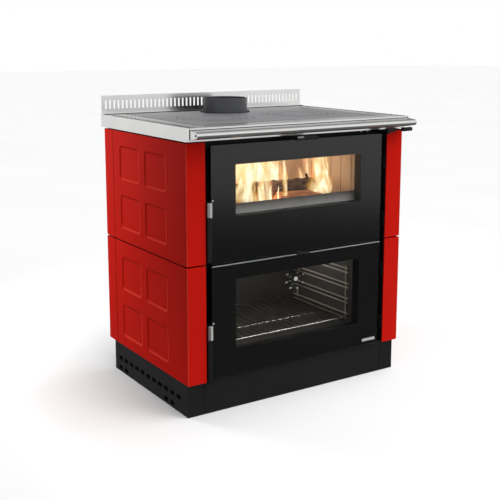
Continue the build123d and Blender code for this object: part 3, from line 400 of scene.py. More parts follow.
# Blacked steel of the hinges: dead dull, so the gap beside the doors stays dark.
blacked_steel = clouded("blacked_hinge_steel", "#040404", "#0A0A0A", grain=15, Roughness=0.9,
                        Specular_IOR_Level=0.05)

# Fire cement: brown, sooted and matt, in lines between the boards.
fire_cement = clouded("fire_cement", "#5C4632", "#7E6248", grain=3, detail=3, Roughness=0.95)

# Mineral wool board with a black glass-tissue face: charcoal and dead matt, with long fibres in the tissue.
mineral_wool, tree, shader, place = start("black_faced_mineral_wool", Roughness=1)
drawn = add(tree, "Mapping", {"Scale": (per(3), per(30), per(3))}, {"Vector": place})
fibre = add(tree, "TexNoise", {"Scale": 1, "Detail": 5, "Distortion": 1.5},
            {"Vector": drawn.outputs["Vector"]})
skin = add(tree, "Bump", {"Strength": 0.6, "Distance": 1.5 * MM}, {"Height": fibre.outputs["Fac"]})
feed(tree, shader, Base_Color=blend(tree, "#100F0F", "#232120", fibre.outputs["Fac"]),
     Normal=skin.outputs["Normal"])

# Glass ceramic: clear, with a trace of grey in its body and a wiped film on its face. Its coating takes
# most of the mirror away, so the index is lower than plain glass.
door_glass, tree, shader, place = start(
    "glass_ceramic", Transmission_Weight=1, IOR=1.16, Base_Color=colour("#F6F6F6"))
film = add(tree, "TexNoise", {"Scale": per(160), "Detail": 2}, {"Vector": place})
rough = add(tree, "MapRange", {"From Min": 0.4, "From Max": 0.8, "To Max": 0.03},
            {"Value": film.outputs["Fac"]})
feed(tree, shader, Roughness=rough.outputs["Result"])

# Black ceramic print fired on the back of the glass: even, opaque and as smooth as the glass.
glass_print = clouded("black_ceramic_print", "#050506", "#0B0B0C", grain=2, detail=1, Roughness=0.07)

# Retainer steel: satin grey, with painted shade that makes it brown and dull by the opening and paler
# towards its foot.
shade_from, shade_to = 584, 616
retainer_painted_shade, tree, shader, place = start("retainer_steel_painted_shade", Metallic=0.6, Roughness=0.5)
rise = add(tree, "SeparateXYZ", links={"Vector": place})
painted_shade_rise = add(tree, "MapRange", {"From Min": shade_from * MM, "From Max": shade_to * MM},
           {"Value": rise.outputs["Z"]})
smoke = add(tree, "TexNoise", {"Scale": per(40), "Detail": 3}, {"Vector": place})
smoke_share, smoke_start = 0.25, -0.12
drift = add(tree, "Math", {1: smoke_share, 2: smoke_start}, {0: smoke.outputs["Fac"]},
            operation="MULTIPLY_ADD")
tint = add(tree, "Math", links={0: painted_shade_rise.outputs["Result"], 1: drift.outputs[0]}, operation="ADD",
           use_clamp=True)
feed(tree, shader, Base_Color=blend(tree, "#D6D4D0", "#6A655F", tint.outputs[0]))

# Knitted glass rope: charcoal, with a plait of about 4 mm.
rope_seal, tree, shader, place = start("glass_rope", Roughness=0.95)
waves_per_unit = 20
plait = add(tree, "TexWave", {"Scale": per(4) / waves_per_unit, "Distortion": 3, "Detail": 1},
            {"Vector": place}, bands_direction="DIAGONAL")
skin = add(tree, "Bump", {"Strength": 0.5, "Distance": 1 * MM}, {"Height": plait.outputs["Fac"]})
feed(tree, shader, Base_Color=blend(tree, "#1E1D1C", "#3B3937", plait.outputs["Fac"]),
     Normal=skin.outputs["Normal"])

# Phenolic moulding: black, half matt, with a little flow in the skin.
black_grip, tree, shader, place = start("phenolic_moulding", Roughness=0.38, Specular_IOR_Level=0.3)
flow = add(tree, "TexNoise", {"Scale": per(12), "Detail": 3}, {"Vector": place})
rough = add(tree, "MapRange", {"To Min": 0.3, "To Max": 0.46}, {"Value": flow.outputs["Fac"]})
feed(tree, shader, Base_Color=blend(tree, "#070708", "#0E0E0F", flow.outputs["Fac"]),
     Roughness=rough.outputs["Result"])

# Rack wire: tinned and worn, so it scatters the light and shows pale against the dark oven.
rack_wire = clouded("tinned_rack_wire", "#BCB6AA", "#A49C8E", grain=40, Metallic=0.4, Roughness=0.35)

# Chromed wire: smooth and bright, dimmed and a little straw-coloured by the oven's heat.
chromed_wire, tree, shader, place = start("chromed_wire", Metallic=1)
straw = add(tree, "TexNoise", {"Scale": per(60), "Detail": 2}, {"Vector": place})
rough = add(tree, "MapRange", {"To Min": 0.08, "To Max": 0.22}, {"Value": straw.outputs["Fac"]})
feed(tree, shader, Base_Color=blend(tree, "#B4B4B4", "#A8A298", straw.outputs["Fac"]),
     Roughness=rough.outputs["Result"])

# Ground glass edge, partly a painted highlight: pale green-grey and matt, so it draws a light line along
# the pane.
ground_edge_highlight = clouded("ground_glass_edge_highlight", "#BCC2BF", "#D8DCDA", grain=2, Roughness=0.6)

# Satin metal plate: pale and even, with a fine blasted grain.
satin_plate = clouded("satin_metal_plate", "#A2A2A0", "#BCBCBA", grain=1.5, Metallic=0.4, Roughness=0.5)

# Smoked glass dial: see-through grey, so that only its print stands out.
dial_glass = clouded("smoked_dial_glass", "#1C1B1A", "#2A2927", grain=30, Alpha=0.3, Roughness=0.1,
                     Specular_IOR_Level=0.2)

# White screen print: even and chalky.
white_print = clouded("white_screen_print", "#DADAD6", "#F2F2EE", grain=1.5, detail=1, Roughness=0.6)

# Bark: brown ridges along the log, charred black where the fire has worked.
log_wood, tree, shader, place = start("charred_firewood", Roughness=0.9)
drawn = add(tree, "Mapping", {"Scale": (per(55), per(7), per(7))}, {"Vector": place})
ridge = add(tree, "TexNoise", {"Scale": 1, "Detail": 6, "Distortion": 0.8},
            {"Vector": drawn.outputs["Vector"]})
char = add(tree, "TexNoise", {"Scale": per(60), "Detail": 4}, {"Vector": place})
burnt = add(tree, "MapRange", {"From Min": 0.42, "From Max": 0.58}, {"Value": char.outputs["Fac"]})
bark = add(tree, "MapRange", {"From Min": 0.36, "From Max": 0.64}, {"Value": ridge.outputs["Fac"]})
wood = blend(tree, "#241811", "#8C6C52", bark.outputs["Result"])
charred = add(tree, "Mix", {7: colour("#130E0C")}, {0: burnt.outputs["Result"], 6: wood}, data_type="RGBA")
skin = add(tree, "Bump", {"Strength": 0.8, "Distance": 2 * MM}, {"Height": ridge.outputs["Fac"]})
feed(tree, shader, Base_Color=charred.outputs[2], Normal=skin.outputs["Normal"])

# Fresh split wood: orange-brown, lightened with painted firelight, with the grain drawn along the billet.
split_wood, tree, shader, place = start("split_firewood", Roughness=0.85)
drawn = add(tree, "Mapping", {"Scale": (per(90), per(5), per(5))}, {"Vector": place})
grain = add(tree, "TexNoise", {"Scale": 1, "Detail": 5, "Distortion": 0.5},
            {"Vector": drawn.outputs["Vector"]})
vein = add(tree, "MapRange", {"From Min": 0.36, "From Max": 0.64}, {"Value": grain.outputs["Fac"]})
skin = add(tree, "Bump", {"Strength": 0.5, "Distance": 1.5 * MM}, {"Height": grain.outputs["Fac"]})
feed(tree, shader, Base_Color=blend(tree, "#9C5630", "#F2AC78", vein.outputs["Result"]),
     Normal=skin.outputs["Normal"])

# Embers: grey ash over glowing coal that shows in the cracks.
ember, tree, shader, place = start("glowing_embers", Roughness=1, Emission_Strength=2.5)
crack = add(tree, "TexVoronoi", {"Scale": per(14)}, {"Vector": place}, feature="DISTANCE_TO_EDGE")
glow = add(tree, "MapRange", {"From Max": 0.16, "To Min": 1, "To Max": 0},
           {"Value": crack.outputs["Distance"]})
feed(tree, shader, Base_Color=blend(tree, "#5A4A40", "#2A1510", glow.outputs["Result"]),
     Emission_Color=blend(tree, "#140300", "#FF6A18", glow.outputs["Result"]))


def burning(name, thick, edge_tone, mid_tone, heart_tone):
    """Flame: glowing gas in upright tongues, brightest in the heart, orange and thin at the ragged edge."""
    lick_share, lick_start = 2.6, -0.3
    thins_upwards, thins_sideways, side_power = -0.5, -1.1, 2
    material, tree, shader, place = start(
        name, Base_Color=colour("#000000"), Roughness=1, Specular_IOR_Level=0, Emission_Strength=1.4)
    sheet = add(tree, "SeparateXYZ", links={"Vector": add(tree, "TexCoord").outputs["UV"]})
    side = add(tree, "Math", {1: 2, 2: -1}, {0: sheet.outputs["X"]}, operation="MULTIPLY_ADD")
    off_axis = add(tree, "Math", links={0: side.outputs[0]}, operation="ABSOLUTE")
    away = add(tree, "Math", {1: side_power}, {0: off_axis.outputs[0]}, operation="POWER")
    drawn = add(tree, "Mapping", {"Scale": (per(30), per(50), per(110))}, {"Vector": place})
    lick = add(tree, "TexNoise", {"Scale": 1, "Detail": 3, "Roughness": 0.5, "Distortion": 1.2},
               {"Vector": drawn.outputs["Vector"]})
    tongue = add(tree, "Math", {1: lick_share, 2: lick_start}, {0: lick.outputs["Fac"]},
                 operation="MULTIPLY_ADD")
    risen = add(tree, "Math", {1: thins_upwards}, {0: sheet.outputs["Y"], 2: tongue.outputs[0]},
                operation="MULTIPLY_ADD")
    body = add(tree, "Math", {1: thins_sideways}, {0: away.outputs[0], 2: risen.outputs[0]},
               operation="MULTIPLY_ADD")
    cover = add(tree, "MapRange", {"From Min": 0.1, "From Max": 0.9, "To Max": thick},
                {"Value": body.outputs[0]})
    heat = add(tree, "MapRange", {"From Min": 0.3, "From Max": 1.1}, {"Value": body.outputs[0]})
    warm = blend(tree, edge_tone, mid_tone, heat.outputs["Result"])
    core = add(tree, "Mix", {7: colour(heart_tone)}, {0: heat.outputs["Result"], 6: warm}, data_type="RGBA")
    foot = add(tree, "MapRange", {"From Max": 0.22}, {"Value": sheet.outputs["Y"]})
    shown = add(tree, "Math", links={0: cover.outputs["Result"], 1: foot.outputs["Result"]},
                operation="MULTIPLY")
    feed(tree, shader, Emission_Color=core.outputs[2], Alpha=shown.outputs[0])
    return material


flame_gas = burning("flame_gas", thick=0.95, edge_tone="#FFB03E", mid_tone="#FFE06C", heart_tone="#FFFBDC")
flame_veil = burning("flame_veil", thick=0.7, edge_tone="#FF9A4A", mid_tone="#FFC878", heart_tone="#FFE9B8")

panels = ("upper_panel_left", "upper_panel_right", "lower_panel_left", "lower_panel_right",
          "rear_corner_trims")
doors = ("fire_door", "oven_door")
controls = ("flue_damper", "air_valve", "draught_lever")
rings = [ring + side for side in ("left", "right") for ring in ("outer_ring_", "inner_ring_", "hob_lid_")]
dress(red_enamel, *panels)
dress(black_paint, "plinth_front", "plinth_left", "plinth_right", "base_plate", "face_frame",
      "fire_door_frame", "oven_door_frame", "air_slide", *controls)
dress(blacked_steel, "fire_door_brackets", "oven_door_brackets", "hinge_posts")
dress(stainless, "splashback", "handrail", "rail_end_caps", "hob_frame")
dress(stainless_root, "fire_door_handle_root", "oven_door_handle_root")
dress(hob_iron, "hob_plate", *rings)
dress(flue_iron, "flue_collar", "fire_grate", "rear_panel_screws")
dress(galvanised, "carcass_walls", "rear_panel", "levelling_feet")
dress(firebox_steel, "firebox_shell", "ash_drawer")
dress(oven_enamel, "oven_liner")
dress(firebrick, "firebricks")
dress(mineral_wool, "side_insulation")
dress(door_glass, "fire_door_glass", "oven_door_glass", "fire_door_inner_glass", "oven_door_inner_glass")
dress(retainer_painted_shade, "fire_door_retainer")
dress(satin_plate, "badge_plate")
dress(rope_seal, "fire_door_seal", "oven_door_seal")
dress(black_grip, "fire_door_handle_grip", "oven_door_handle_grip", "flue_damper_grip", "air_valve_grip",
      "draught_lever_grip", "thermometer_needle")
dress(chromed_wire, "oven_shelf")
dress(rack_wire, "oven_racks")
dress(dial_glass, "oven_thermometer")

# Sheet and cast pieces with the soft edges that folding, paint and handling leave
for panel in panels:
    fit(eased(panel, radius=0.9, segments=3), "stove", "red_enamel", red_enamel, panel)
for panel in ("plinth_front", "plinth_left", "plinth_right", "face_frame"):
    fit(eased(panel, radius=0.6), "stove", "black_paint", black_paint, panel)
for panel in ("hob_frame", "handrail", "rail_end_caps"):
    fit(eased(panel, radius=0.7, segments=3), "stove", "stainless_steel", stainless, panel)
fit(eased("splashback", radius=0.4), "stove", "stainless_steel", stainless, "splashback")
fit(eased("flue_collar", radius=2, segments=4), "stove", "flue_iron", flue_iron, "flue_collar")
fit(eased("hob_plate", radius=0.5), "stove", "hob_iron", hob_iron, "hob_plate")
for ring in rings:
    fit(eased(ring, radius=1.2, segments=3), ring, "hob_iron", hob_iron, ring)
for door in doors:
    leaf, handle = door + "_frame", door + "_handle"
    root, grip = handle + "_root", handle + "_grip"
    fit(eased(leaf, radius=0.6), door, "black_paint", black_paint, leaf)
    fit(eased(root, radius=0.8, segments=3), handle, "stainless_steel", stainless_root, root)
    fit(eased(grip, radius=1.6, segments=3), handle, "black_grip", black_grip, grip)
for control in controls:
    fit(eased(control, radius=0.4), control, "stainless_steel", black_paint, control)
    fit(eased(control + "_grip", radius=1.2, segments=3), control, "black_grip", black_grip,
        control + "_grip")

# The retainer stands a hair behind its solid, so that it shares no plane with its neighbours
retainer_back = 0.15
retainer = eased("fire_door_retainer", radius=0.4)
retainer.data.transform(Matrix.Translation((0, retainer_back * MM, 0)))
fit(retainer, "fire_door", "stainless_steel", retainer_painted_shade, "fire_door_retainer")

# Black print on the back of each door's glass, open at the window
window_half, print_inset, print_front, print_back = 233, 1.2, 0.3, 0.1
for door, sill, lintel in (("fire_door", 587, 738), ("oven_door", 183, 400)):
    low, high = [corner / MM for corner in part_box(door + "_glass")]
    border = box(door + "_print", (low.x + print_inset, high.x - print_inset),
                 (high.y - print_front, high.y - print_back), (low.z + print_inset, high.z - print_inset))
    cuts = [((x, 0, 0), (1, 0, 0)) for x in (-window_half, window_half)]
    cuts += [((0, 0, z), (0, 0, 1)) for z in (sill, lintel)]
    for point, normal in cuts:
        pick(border, "faces", lambda face: True)
        bpy.ops.mesh.bisect(plane_co=Vector(point) * MM, plane_no=normal)
    pick(border, "faces", lambda face: abs(face.calc_center_median().x) < window_half * MM
         and sill * MM < face.calc_center_median().z < lintel * MM)
    bpy.ops.mesh.delete(type="FACE")
    pick(border, "edges", lambda edge: edge.is_boundary)
    bpy.ops.mesh.bridge_edge_loops()
    fit(border, door, "door_glass", glass_print)

# Oven shelf: its wires end in small upturned tips at the front, and carry a row of cross pins further in
shelf_front, shelf_top, shelf_rim, pin_row = -189, 194.3, 3, -100
wire_gaps, pin_count, tip_rise, pin_rise = 18, 15, 2, 1
shelf_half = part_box("oven_shelf")[1].x / MM - shelf_rim
wire_pitch = 2 * shelf_half / wire_gaps
tips = []
for tip in range(1, 2 * wire_gaps):
    tip_place = (wire_pitch / 2 * tip - shelf_half, shelf_front, shelf_top + tip_rise)
    tips.append(rod("tip", tip_place, radius=1.3, length=6, sides=12))
for pin in range(1, pin_count + 1):
    pin_place = (wire_pitch * pin - shelf_half, pin_row, shelf_top + pin_rise)
    tips.append(rod("pin", pin_place, radius=1.4, length=19, turn=ALONG_X, sides=12))
shelf_tips = join("shelf_tips", tips)
round_edges(shelf_tips, radius=0.4)
fit(shelf_tips, "stove", "chromed_wire", polished)

# Painted highlight: a pale face on the right half of each handle's root; and the screw beside it on the
# glass
face_x, face_y, face_inset = (-326, -318.9), (-256.6, -255.8), 0.8
screw_x, screw_y, screw_rise = -313.4, -249.2, 4
for door, root_low, root_high in (("fire_door", 592, 636), ("oven_door", 230, 274)):
    face = box(door + "_handle_highlight_face", face_x, face_y, (root_low + face_inset, root_high - face_inset))
    round_edges(face, radius=0.3)
    fit(face, door + "_handle", "stainless_steel", satin_plate)
    screw = rod(door + "_handle_screw", (screw_x, screw_y, root_high + screw_rise), radius=2.8, length=2,
                turn=ALONG_Y, sides=24)
    round_edges(screw, radius=0.6, segments=3)
    fit(screw, door, "stainless_steel", satin_plate)

# Worn face on the damper's crank, beside its grip
crank = box("damper_crank_face", x=(-54.4, -32), y=(-300.6, -299.9), z=(808, 812.4))
round_edges(crank, radius=0.3)
fit(crank, "flue_damper", "stainless_steel", stainless_root)

# Slopes of the pressed rectangles: the sheet runs down to the floor of each pressing over a few millimetres
press_length, press_height, press_radius, press_depth = 137, 109, 14, 2
press_columns, press_rows = (-58.5, 115.5), (191.5, 348.5, 551.5, 708.5)
slope_x, slope_width, slope_lip = (395.96, 398.06), 6, 1


def beside(side, limits):
    """Limits on X at the left or the right, from those at the right."""
    return sorted(side * limit for limit in limits)


def slope_ring(side, press_y, press_z):
    """Closed ring round the floor of one pressing, whose outer face runs down to the floor."""
    half_y, half_z = press_length / 2 + slope_lip, press_height / 2 + slope_lip
    quad = 4
    ring = box("slope", beside(side, slope_x), (press_y - half_y, press_y + half_y),
               (press_z - half_z, press_z + half_z))
    pick(ring, "edges", lambda edge: reach(edge) > MM)
    bpy.ops.mesh.bevel(offset=press_radius * MM, segments=8)
    pick(ring, "faces", lambda face: abs(face.normal.x) > SQUARE_ON)
    bpy.ops.mesh.inset(thickness=(slope_width + slope_lip) * MM, use_individual=True)
    pick(ring, "faces", lambda face: len(face.verts) > quad and face.normal.x * side > SQUARE_ON)
    bpy.ops.transform.translate(value=(-press_depth * side * MM, 0, 0))
    pick(ring, "faces", lambda face: len(face.verts) > quad)
    bpy.ops.mesh.delete(type="FACE")
    pick(ring, "edges", lambda edge: edge.is_boundary)
    bpy.ops.mesh.bridge_edge_loops()
    put_down()
    return ring


slopes = [slope_ring(side, y, z) for side in SIDES for y in press_columns for z in press_rows]
pressed_slopes = join("pressed_slopes", slopes)
smooth(pressed_slopes)
# Their colour is painted shade: darker where they face forward or down, lighter where they face back or up
fit(pressed_slopes, "stove", "red_enamel", pressed_slope_painted_shade)

# Painted highlight: a lighter bead where the enamel turns each front corner
bead_x, bead_y, panel_heights = 397, -247, ((103, 452), (458, 807))
beads = [rod("bead", (bead_x * side, bead_y, (low + high) / 2), radius=1.5, length=high - low, sides=16)
         for side in SIDES for low, high in panel_heights]
corner_beads = join("corner_beads", beads)
round_edges(corner_beads, radius=0.3)
fit(corner_beads, "stove", "red_enamel", corner_highlight_enamel)

# Fire: three logs on the bars, a twig, a bed of embers and tongues of flame


def rest_on(piece, height):
    """Sets a piece's lowest point at a height, in millimetres."""
    lowest = min(vert.co.z for vert in piece.data.vertices)
    piece.data.transform(Matrix.Translation((0, 0, height * MM - lowest)))


def log(name, place, radius, length, rough, heading, tilt=0):
    """Firewood along X, in millimetres and degrees: a bar with rims at its sawn ends, grown uneven."""
    rims, growth_share = (0.12, 0.4, 0.3), 0.55
    piece = rod(name, (0, 0, 0), radius, length, ALONG_X, sides=36)
    pick(piece, "edges", lambda edge: reach(edge) > length * MM / 2)
    bpy.ops.mesh.subdivide(number_cuts=24)
    pick(piece, "faces", lambda face: abs(face.normal.x) > SQUARE_ON)
    for rim in rims:
        bpy.ops.mesh.inset(thickness=radius * rim * MM, use_individual=True)
    put_down()
    piece.rotation_euler = (0, math.radians(tilt), math.radians(heading))
    piece.location = Vector(place) * MM
    settle(piece)
    growth = bpy.data.textures.new(name + "_growth", "CLOUDS")
    growth.noise_scale = radius * growth_share * MM
    growth.noise_depth = 4
    change(piece, "DISPLACE", texture=growth, strength=rough * MM, mid_level=0.5, texture_coords="LOCAL")
    smooth(piece, angle=50)
    return piece


bars_top = 582
back_log = log("back_log", (10, -92, 620), radius=34, length=272, rough=12, heading=-4)
rest_on(back_log, bars_top)
fit(back_log, "stove", None, log_wood)

split_log = log("split_log", (48, -160, 613), radius=31, length=164, rough=6, heading=7)
split_at, split_faces = Vector((48, -158, 625)), ((0.06, -0.5, 0.86), (-0.03, 0.8, 0.6))
for normal in split_faces:
    pick(split_log, "faces", lambda face: True)
    bpy.ops.mesh.bisect(plane_co=split_at * MM, plane_no=Vector(normal), use_fill=True, clear_outer=True)
put_down()
round_edges(split_log, radius=1.5, angle=40)
rest_on(split_log, bars_top)
fit(split_log, "stove", None, split_wood)

left_log = log("left_log", (-120, -70, 606), radius=26, length=120, rough=9, heading=38)
rest_on(left_log, bars_top)
fit(left_log, "stove", None, log_wood)

twig = log("twig", (128, -104, 649), radius=4, length=44, rough=2, heading=30, tilt=52)
fit(twig, "stove", None, log_wood)

bed_length, bed_depth, bed_middle, bed_rise = 380, 200, -70, 4
bed_place = Vector((0, bed_middle, bars_top + bed_rise)) * MM
put_down()
bpy.ops.mesh.primitive_grid_add(x_subdivisions=60, y_subdivisions=40, size=1, location=bed_place)
embers = bpy.context.object
embers.name = "ember_bed"
embers.scale = (bed_length * MM, bed_depth * MM, 1)
settle(embers)
coals = bpy.data.textures.new("coals", "CLOUDS")
coals.noise_scale = 16 * MM
coals.noise_depth = 2
change(embers, "DISPLACE", texture=coals, strength=14 * MM, mid_level=0.4, texture_coords="LOCAL")
change(embers, "SOLIDIFY", thickness=4 * MM, offset=-1)
rest_on(embers, bars_top)
take(embers)
bpy.ops.object.shade_smooth()
fit(embers, "stove", None, ember)


def flame(name, foot, width, height, sway, beat, gas):
    """Tongue of flame, in millimetres: an upright sheet that bellies out, narrows and sways to its tip."""
    taper, girth, swell, swell_start = 0.55, 0.75, 0.35, 0.15
    foot_share, foot_flare, waves, belly_share, half_grid = 0.3, 3.5, 5, 0.25, 0.5
    put_down()
    bpy.ops.mesh.primitive_grid_add(x_subdivisions=10, y_subdivisions=26, size=1, calc_uvs=True)
    piece = bpy.context.object
    piece.name = name
    for vert in piece.data.vertices:
        across, up = vert.co.x, vert.co.y + half_grid
        bulge = girth + swell * math.sin(math.pi * (up + swell_start))
        spread = width * (1 - up) ** taper * bulge * min(1, foot_share + foot_flare * up)
        drift = sway * up * math.sin(waves * up + beat)
        belly = belly_share * width * (1 - (2 * across) ** 2) * (1 - up)
        vert.co = Vector((foot[0] + across * spread + drift, foot[1] - belly, foot[2] + up * height)) * MM
    take(piece)
    bpy.ops.object.shade_smooth()
    fit(piece, "stove", None, gas)


flame("flame_left", (-134, -140, 572), width=120, height=222, sway=-16, beat=0.4, gas=flame_gas)
flame("flame_left_front", (-106, -172, 572), width=70, height=128, sway=-10, beat=0.6, gas=flame_gas)
flame("flame_left_back", (-20, -20, 590), width=170, height=205, sway=12, beat=1.2, gas=flame_gas)
flame("flame_middle_back", (56, 10, 590), width=170, height=205, sway=12, beat=2, gas=flame_gas)
flame("flame_middle_front", (-80, -164, 572), width=100, height=158, sway=8, beat=3.4, gas=flame_veil)
flame("flame_low_left", (-68, -180, 572), width=28, height=84, sway=4, beat=1.4, gas=flame_gas)
flame("flame_low_right", (-44, -182, 572), width=26, height=80, sway=4, beat=2.9, gas=flame_gas)
flame("flame_thin", (-14, -174, 576), width=32, height=215, sway=5, beat=0.8, gas=flame_gas)
flame("flame_behind_right", (160, -30, 590), width=150, height=150, sway=12, beat=4.6, gas=flame_veil)
flame("flame_right", (140, -146, 572), width=130, height=244, sway=6, beat=5.2, gas=flame_gas)
flame("flame_right_back", (172, -90, 580), width=110, height=230, sway=6, beat=1.6, gas=flame_veil)

# Thermometer print: a round of ticks and temperatures on the dial
dial_x, dial_front, dial_z = 0, -215.5, 361.5
first_angle, angle_step, figures, degrees_apart = math.radians(30), math.radians(45), 7, 50
figure_radius, figure_lift, ink = 33, 0.25, 0.15
tick_x, tick_reach, tick_lift = (-1, 1), (18, 20.5), 0.17
marks = []
for number in range(figures):
    angle = first_angle + number * angle_step
    figure_x = dial_x + figure_radius * math.sin(angle)
    figure_z = dial_z + figure_radius * math.cos(angle)
    put_down()
    bpy.ops.object.text_add(
        location=Vector((figure_x, dial_front - figure_lift, figure_z)) * MM, rotation=ALONG_Y)
    figure = bpy.context.object
    figure.data.body = str(degrees_apart * number)
    figure.data.size = 6 * MM
    figure.data.offset = 0.2 * MM
    figure.data.align_x = "CENTER"
    figure.data.align_y = "CENTER"
    take(figure)
    bpy.ops.object.convert(target="MESH")
    figure = bpy.context.object
    settle(figure)
    change(figure, "SOLIDIFY", thickness=ink * MM, offset=0)
    marks.append(figure)
    tick = box("tick", tick_x, (dial_front - tick_lift - ink, dial_front - tick_lift), tick_reach)
    tick.rotation_euler = (0, angle, 0)
    tick.location = (dial_x * MM, 0, dial_z * MM)
    settle(tick)
    marks.append(tick)
fit(join("dial_print", marks), "oven_door", "needle_paint", white_print)

# Bright cap on the needle's spindle
hub_lift = 5.1
hub = rod("needle_hub", (dial_x, dial_front - hub_lift, dial_z), radius=6.8, length=1.8, turn=ALONG_Y)
round_edges(hub, radius=0.7, segments=3)
fit(hub, "thermometer_needle", "needle_paint", white_print)

# Ground edge along the top of the oven door's glass, which also stands in for the highlight on that edge
arris_inset, arris_edge, arris_depth = 0.8, 0.3, 1.5
low, high = [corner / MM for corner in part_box("oven_door_glass")]
arris = box("oven_door_arris", (low.x + arris_inset, high.x - arris_inset),
            (low.y + arris_edge, high.y - arris_inset), (high.z - arris_depth, high.z - arris_edge))
round_edges(arris, radius=0.5)
fit(arris, "oven_door", "door_glass", ground_edge_highlight)

# Marks by the controls: three plain white bars on the black band over the door
bar_places, bar_half, bar_y, bar_z = (262, 290, 318), 4, (-206.2, -205.95), (802, 804.5)
bars = [box("bar", (x - bar_half, x + bar_half), bar_y, bar_z) for x in bar_places]
marks = join("control_marks", bars)
round_edges(marks, radius=0.08)
fit(marks, "stove", "needle_paint", white_print)

# Dark seams, mostly painted shadow: the rope round the hob plate, then the shadow gaps under the splashback
# and over the rail
hob_top = 852
plate_x, plate_y, rope_half, rope_bottom = 332, (-200, 272), 1.2, hob_top - 0.8
rope_y = (plate_y[0] - rope_half, plate_y[1] + rope_half)
seams = [box("seam", (x - rope_half, x + rope_half), rope_y, (rope_bottom, hob_top + 0.12))
         for x in (-plate_x, plate_x)]
seams += [box("seam", (-plate_x, plate_x), (y - rope_half, y + rope_half), (rope_bottom, hob_top + 0.1))
          for y in plate_y]
seams += [box("seam", x=(-397, 397), y=(291.6, 293.2), z=(hob_top - 0.2, hob_top + 1.6))]
seams += [box("seam", x=(-396, 396), y=(-275.4, -273.05), z=(845.2, 846.9))]
# At each side, all painted shade: dark strips in the hob's vents, two gaps at the rail's end cap, the gap
# at the rear trim, a dark strip behind the plinth's vents and the hole in the end cap
vents, vent_first, vent_pitch, vent_half = 19, -261, 28, 8.7
vent_x, vent_z = (377.3, 393.7), (848, 851.75)
for side in SIDES:
    for vent in range(vents):
        vent_y = vent_first + vent_pitch * vent
        seams += [box("seam", beside(side, vent_x), (vent_y - vent_half, vent_y + vent_half), vent_z)]
    seams += [box("seam", beside(side, (397.9, 398.15)), y=(-275.6, -273.2), z=(819.6, 845.6))]
    seams += [box("seam", beside(side, (398.2, 399.7)), y=(-273.5, -272.9), z=(819.6, 851))]
    seams += [box("seam", beside(side, (397.6, 398.1)), y=(231.2, 233.8), z=(103, 807))]
    seams += [box("seam", beside(side, (388, 389.4)), y=(-228, 258), z=(5, 62))]
    seams += [rod("seam", (398.1 * side, -306, 834), radius=3.4, length=0.8, turn=ALONG_X, sides=24)]
# Painted shadow under the flue collar
collar_y, collar_rise = 195, 0.9
seams += [rod("seam", (0, collar_y, hob_top + collar_rise), radius=82.9, length=1.6, sides=96)]
dark_seams = join("dark_seams", seams)
round_edges(dark_seams, radius=0.08)
fit(dark_seams, "stove", "black_paint", seam_black)

# Joints between the fire boards, filled with fire cement
lining_x, lining_back, joint_half, joint_z = 245, 88, 1.2, (584, 778)
joint_inside, joint_behind = 0.4, 0.3
joints = [box("joint", beside(side, (lining_x - joint_inside, lining_x + joint_behind)),
              (y - joint_half, y + joint_half), joint_z)
          for side in (1, -1) for y in (-180, -127, -74, -21, 32)]
joints += [box("joint", (x - joint_half, x + joint_half),
               (lining_back - joint_inside, lining_back + joint_behind), joint_z)
           for x in (-147, -49, 49, 147)]
joint_lines = join("brick_joints", joints)
round_edges(joint_lines, radius=0.15)
fit(joint_lines, "stove", "firebrick", fire_cement)

# Floor: studio paper that keeps out of mirrors and glass
put_down()
bpy.ops.mesh.primitive_plane_add(size=60, location=(0, 0, -0.5 * MM))
floor = bpy.context.object
floor.name = "studio_floor"
floor.data.materials.append(clouded("studio_paper", "#DADADA", "#E0E0E0", grain=900, Roughness=0.9))
floor.visible_glossy = False
floor.visible_transmission = False

# Studio: grey levels by height, one run in front of the stove and a darker one behind it
scene = bpy.context.scene
world = bpy.data.worlds.new("studio")
scene.world = world
world.use_nodes = True
tree = world.node_tree
tree.nodes.clear()
way = add(tree, "SeparateXYZ", links={"Vector": add(tree, "TexCoord").outputs["Generated"]})
height = add(tree, "MapRange", {"From Min": -1, "From Max": 1},
             {"Value": way.outputs["Z"]}).outputs["Result"]
low_sky = ((0, 0.13), (0.39, 0.15), (0.405, 0.3), (0.42, 0.75), (0.445, 0.92))
front_sky = low_sky + ((0.47, 1), (0.6, 1), (0.85, 0.9), (1, 0.3))
back_sky = low_sky + ((0.48, 1), (0.525, 1), (0.548, 0.45), (0.575, 0.34), (0.63, 0.26), (1, 0.25))
skies = []
for levels in (front_sky, back_sky):
    graded = add(tree, "ValToRGB", links={"Fac": height})
    stops = graded.color_ramp.elements
    while len(stops) < len(levels):
        stops.new(position=0.5)
    for stop, (position, level) in zip(stops, levels):
        stop.position = position
        stop.color = (level, level, level, 1)
    skies.append(graded.outputs["Color"])
behind = add(tree, "MapRange", {"From Min": -0.2, "From Max": 0.3}, {"Value": way.outputs["Y"]})
dome = add(tree, "Mix", links={0: behind.outputs["Result"], 6: skies[0], 7: skies[1]}, data_type="RGBA")
sky = add(tree, "Background", {"Strength": 1}, {"Color": dome.outputs[2]})
add(tree, "OutputWorld", links={"Surface": sky.outputs["Background"]})


def aimed(direction):
    """Turn of a lamp that shines in a direction."""
    return Vector(direction).to_track_quat("-Z", "Y").to_euler()


def lamp(name, place, aim, size, power):
    """Soft rectangular lamp that points at a place, in metres, and isn't seen itself."""
    light = bpy.data.lights.new(name, "AREA")
    light.shape = "RECTANGLE"
    light.size, light.size_y = size
    light.energy = power
    held = bpy.data.objects.new(name, light)
    held.location = place
    held.rotation_euler = aimed(Vector(aim) - Vector(place))
    held.visible_camera = False
    held.visible_glossy = False
    scene.collection.objects.link(held)


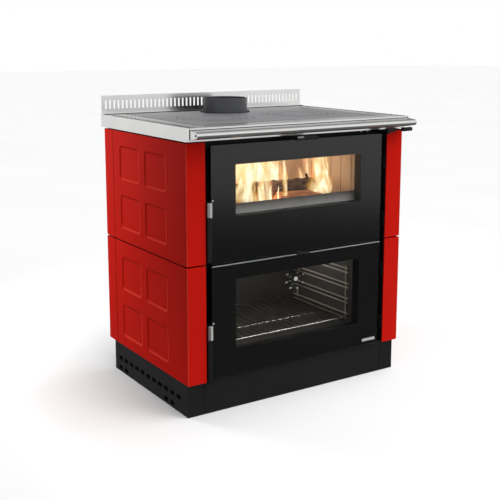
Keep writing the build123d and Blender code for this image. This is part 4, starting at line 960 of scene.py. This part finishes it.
def fire_glow(name, place, power, tint):
    """Small tinted lamp inside the stove, at a place in millimetres, that isn't seen itself."""
    light = bpy.data.lights.new(name, "POINT")
    light.shadow_soft_size = 30 * MM
    light.energy = power
    light.color = colour(tint)[:3]
    held = bpy.data.objects.new(name, light)
    held.location = Vector(place) * MM
    held.visible_camera = False
    held.visible_glossy = False
    held.visible_transmission = False
    scene.collection.objects.link(held)


day = bpy.data.lights.new("skylight", "SUN")
day.energy = 3
day.angle = math.radians(60)
skylight = bpy.data.objects.new("skylight", day)
skylight.rotation_euler = aimed((-0.35, 0.35, -1))
skylight.visible_glossy = False
scene.collection.objects.link(skylight)
lamp("front_softbox", (1.2, -2.4, 2), aim=(0, -0.2, 0.6), size=(1.4, 1.4), power=16)
lamp("rear_left_softbox", (-0.95, 0.95, 0.75), aim=(-0.4, 0.25, 0.5), size=(0.4, 0.8), power=10)

# Black card at the left, unseen and without a shadow, that takes bounced light off the side panels
flag = box("black_flag", x=(-800, -790), y=(-1000, -60), z=(160, 1100))
round_edges(flag, radius=2)
flag.data.materials.append(
    clouded("black_card", "#020202", "#040404", grain=20, Roughness=1, Specular_IOR_Level=0))
flag.visible_camera = False
flag.visible_glossy = False
flag.visible_transmission = False
flag.visible_shadow = False

fire_glow("fire_glow_left", (-90, -90, 690), power=1.6, tint="#FFE3C6")
fire_glow("fire_glow_right", (30, 10, 700), power=1.2, tint="#FFE6CC")
fire_glow("oven_glow_right", (120, -60, 395), power=0.6, tint="#FFFAF4")
fire_glow("oven_glow_left", (-120, 40, 392), power=0.95, tint="#FFF6EA")

# Camera: in front and to the left, looking a little down
pitch, heading = 9.904, 32.948
lens = bpy.data.cameras.new("camera")
lens.lens = 65.08
lens.sensor_width = 36
lens.shift_y = -0.1
camera = bpy.data.objects.new("camera", lens)
camera.location = (-1.5963, -2.4236, 1.0833)
camera.rotation_euler = (math.radians(90 - pitch), 0, math.radians(-heading))
scene.collection.objects.link(camera)
scene.camera = camera
scene.view_settings.view_transform = "Standard"
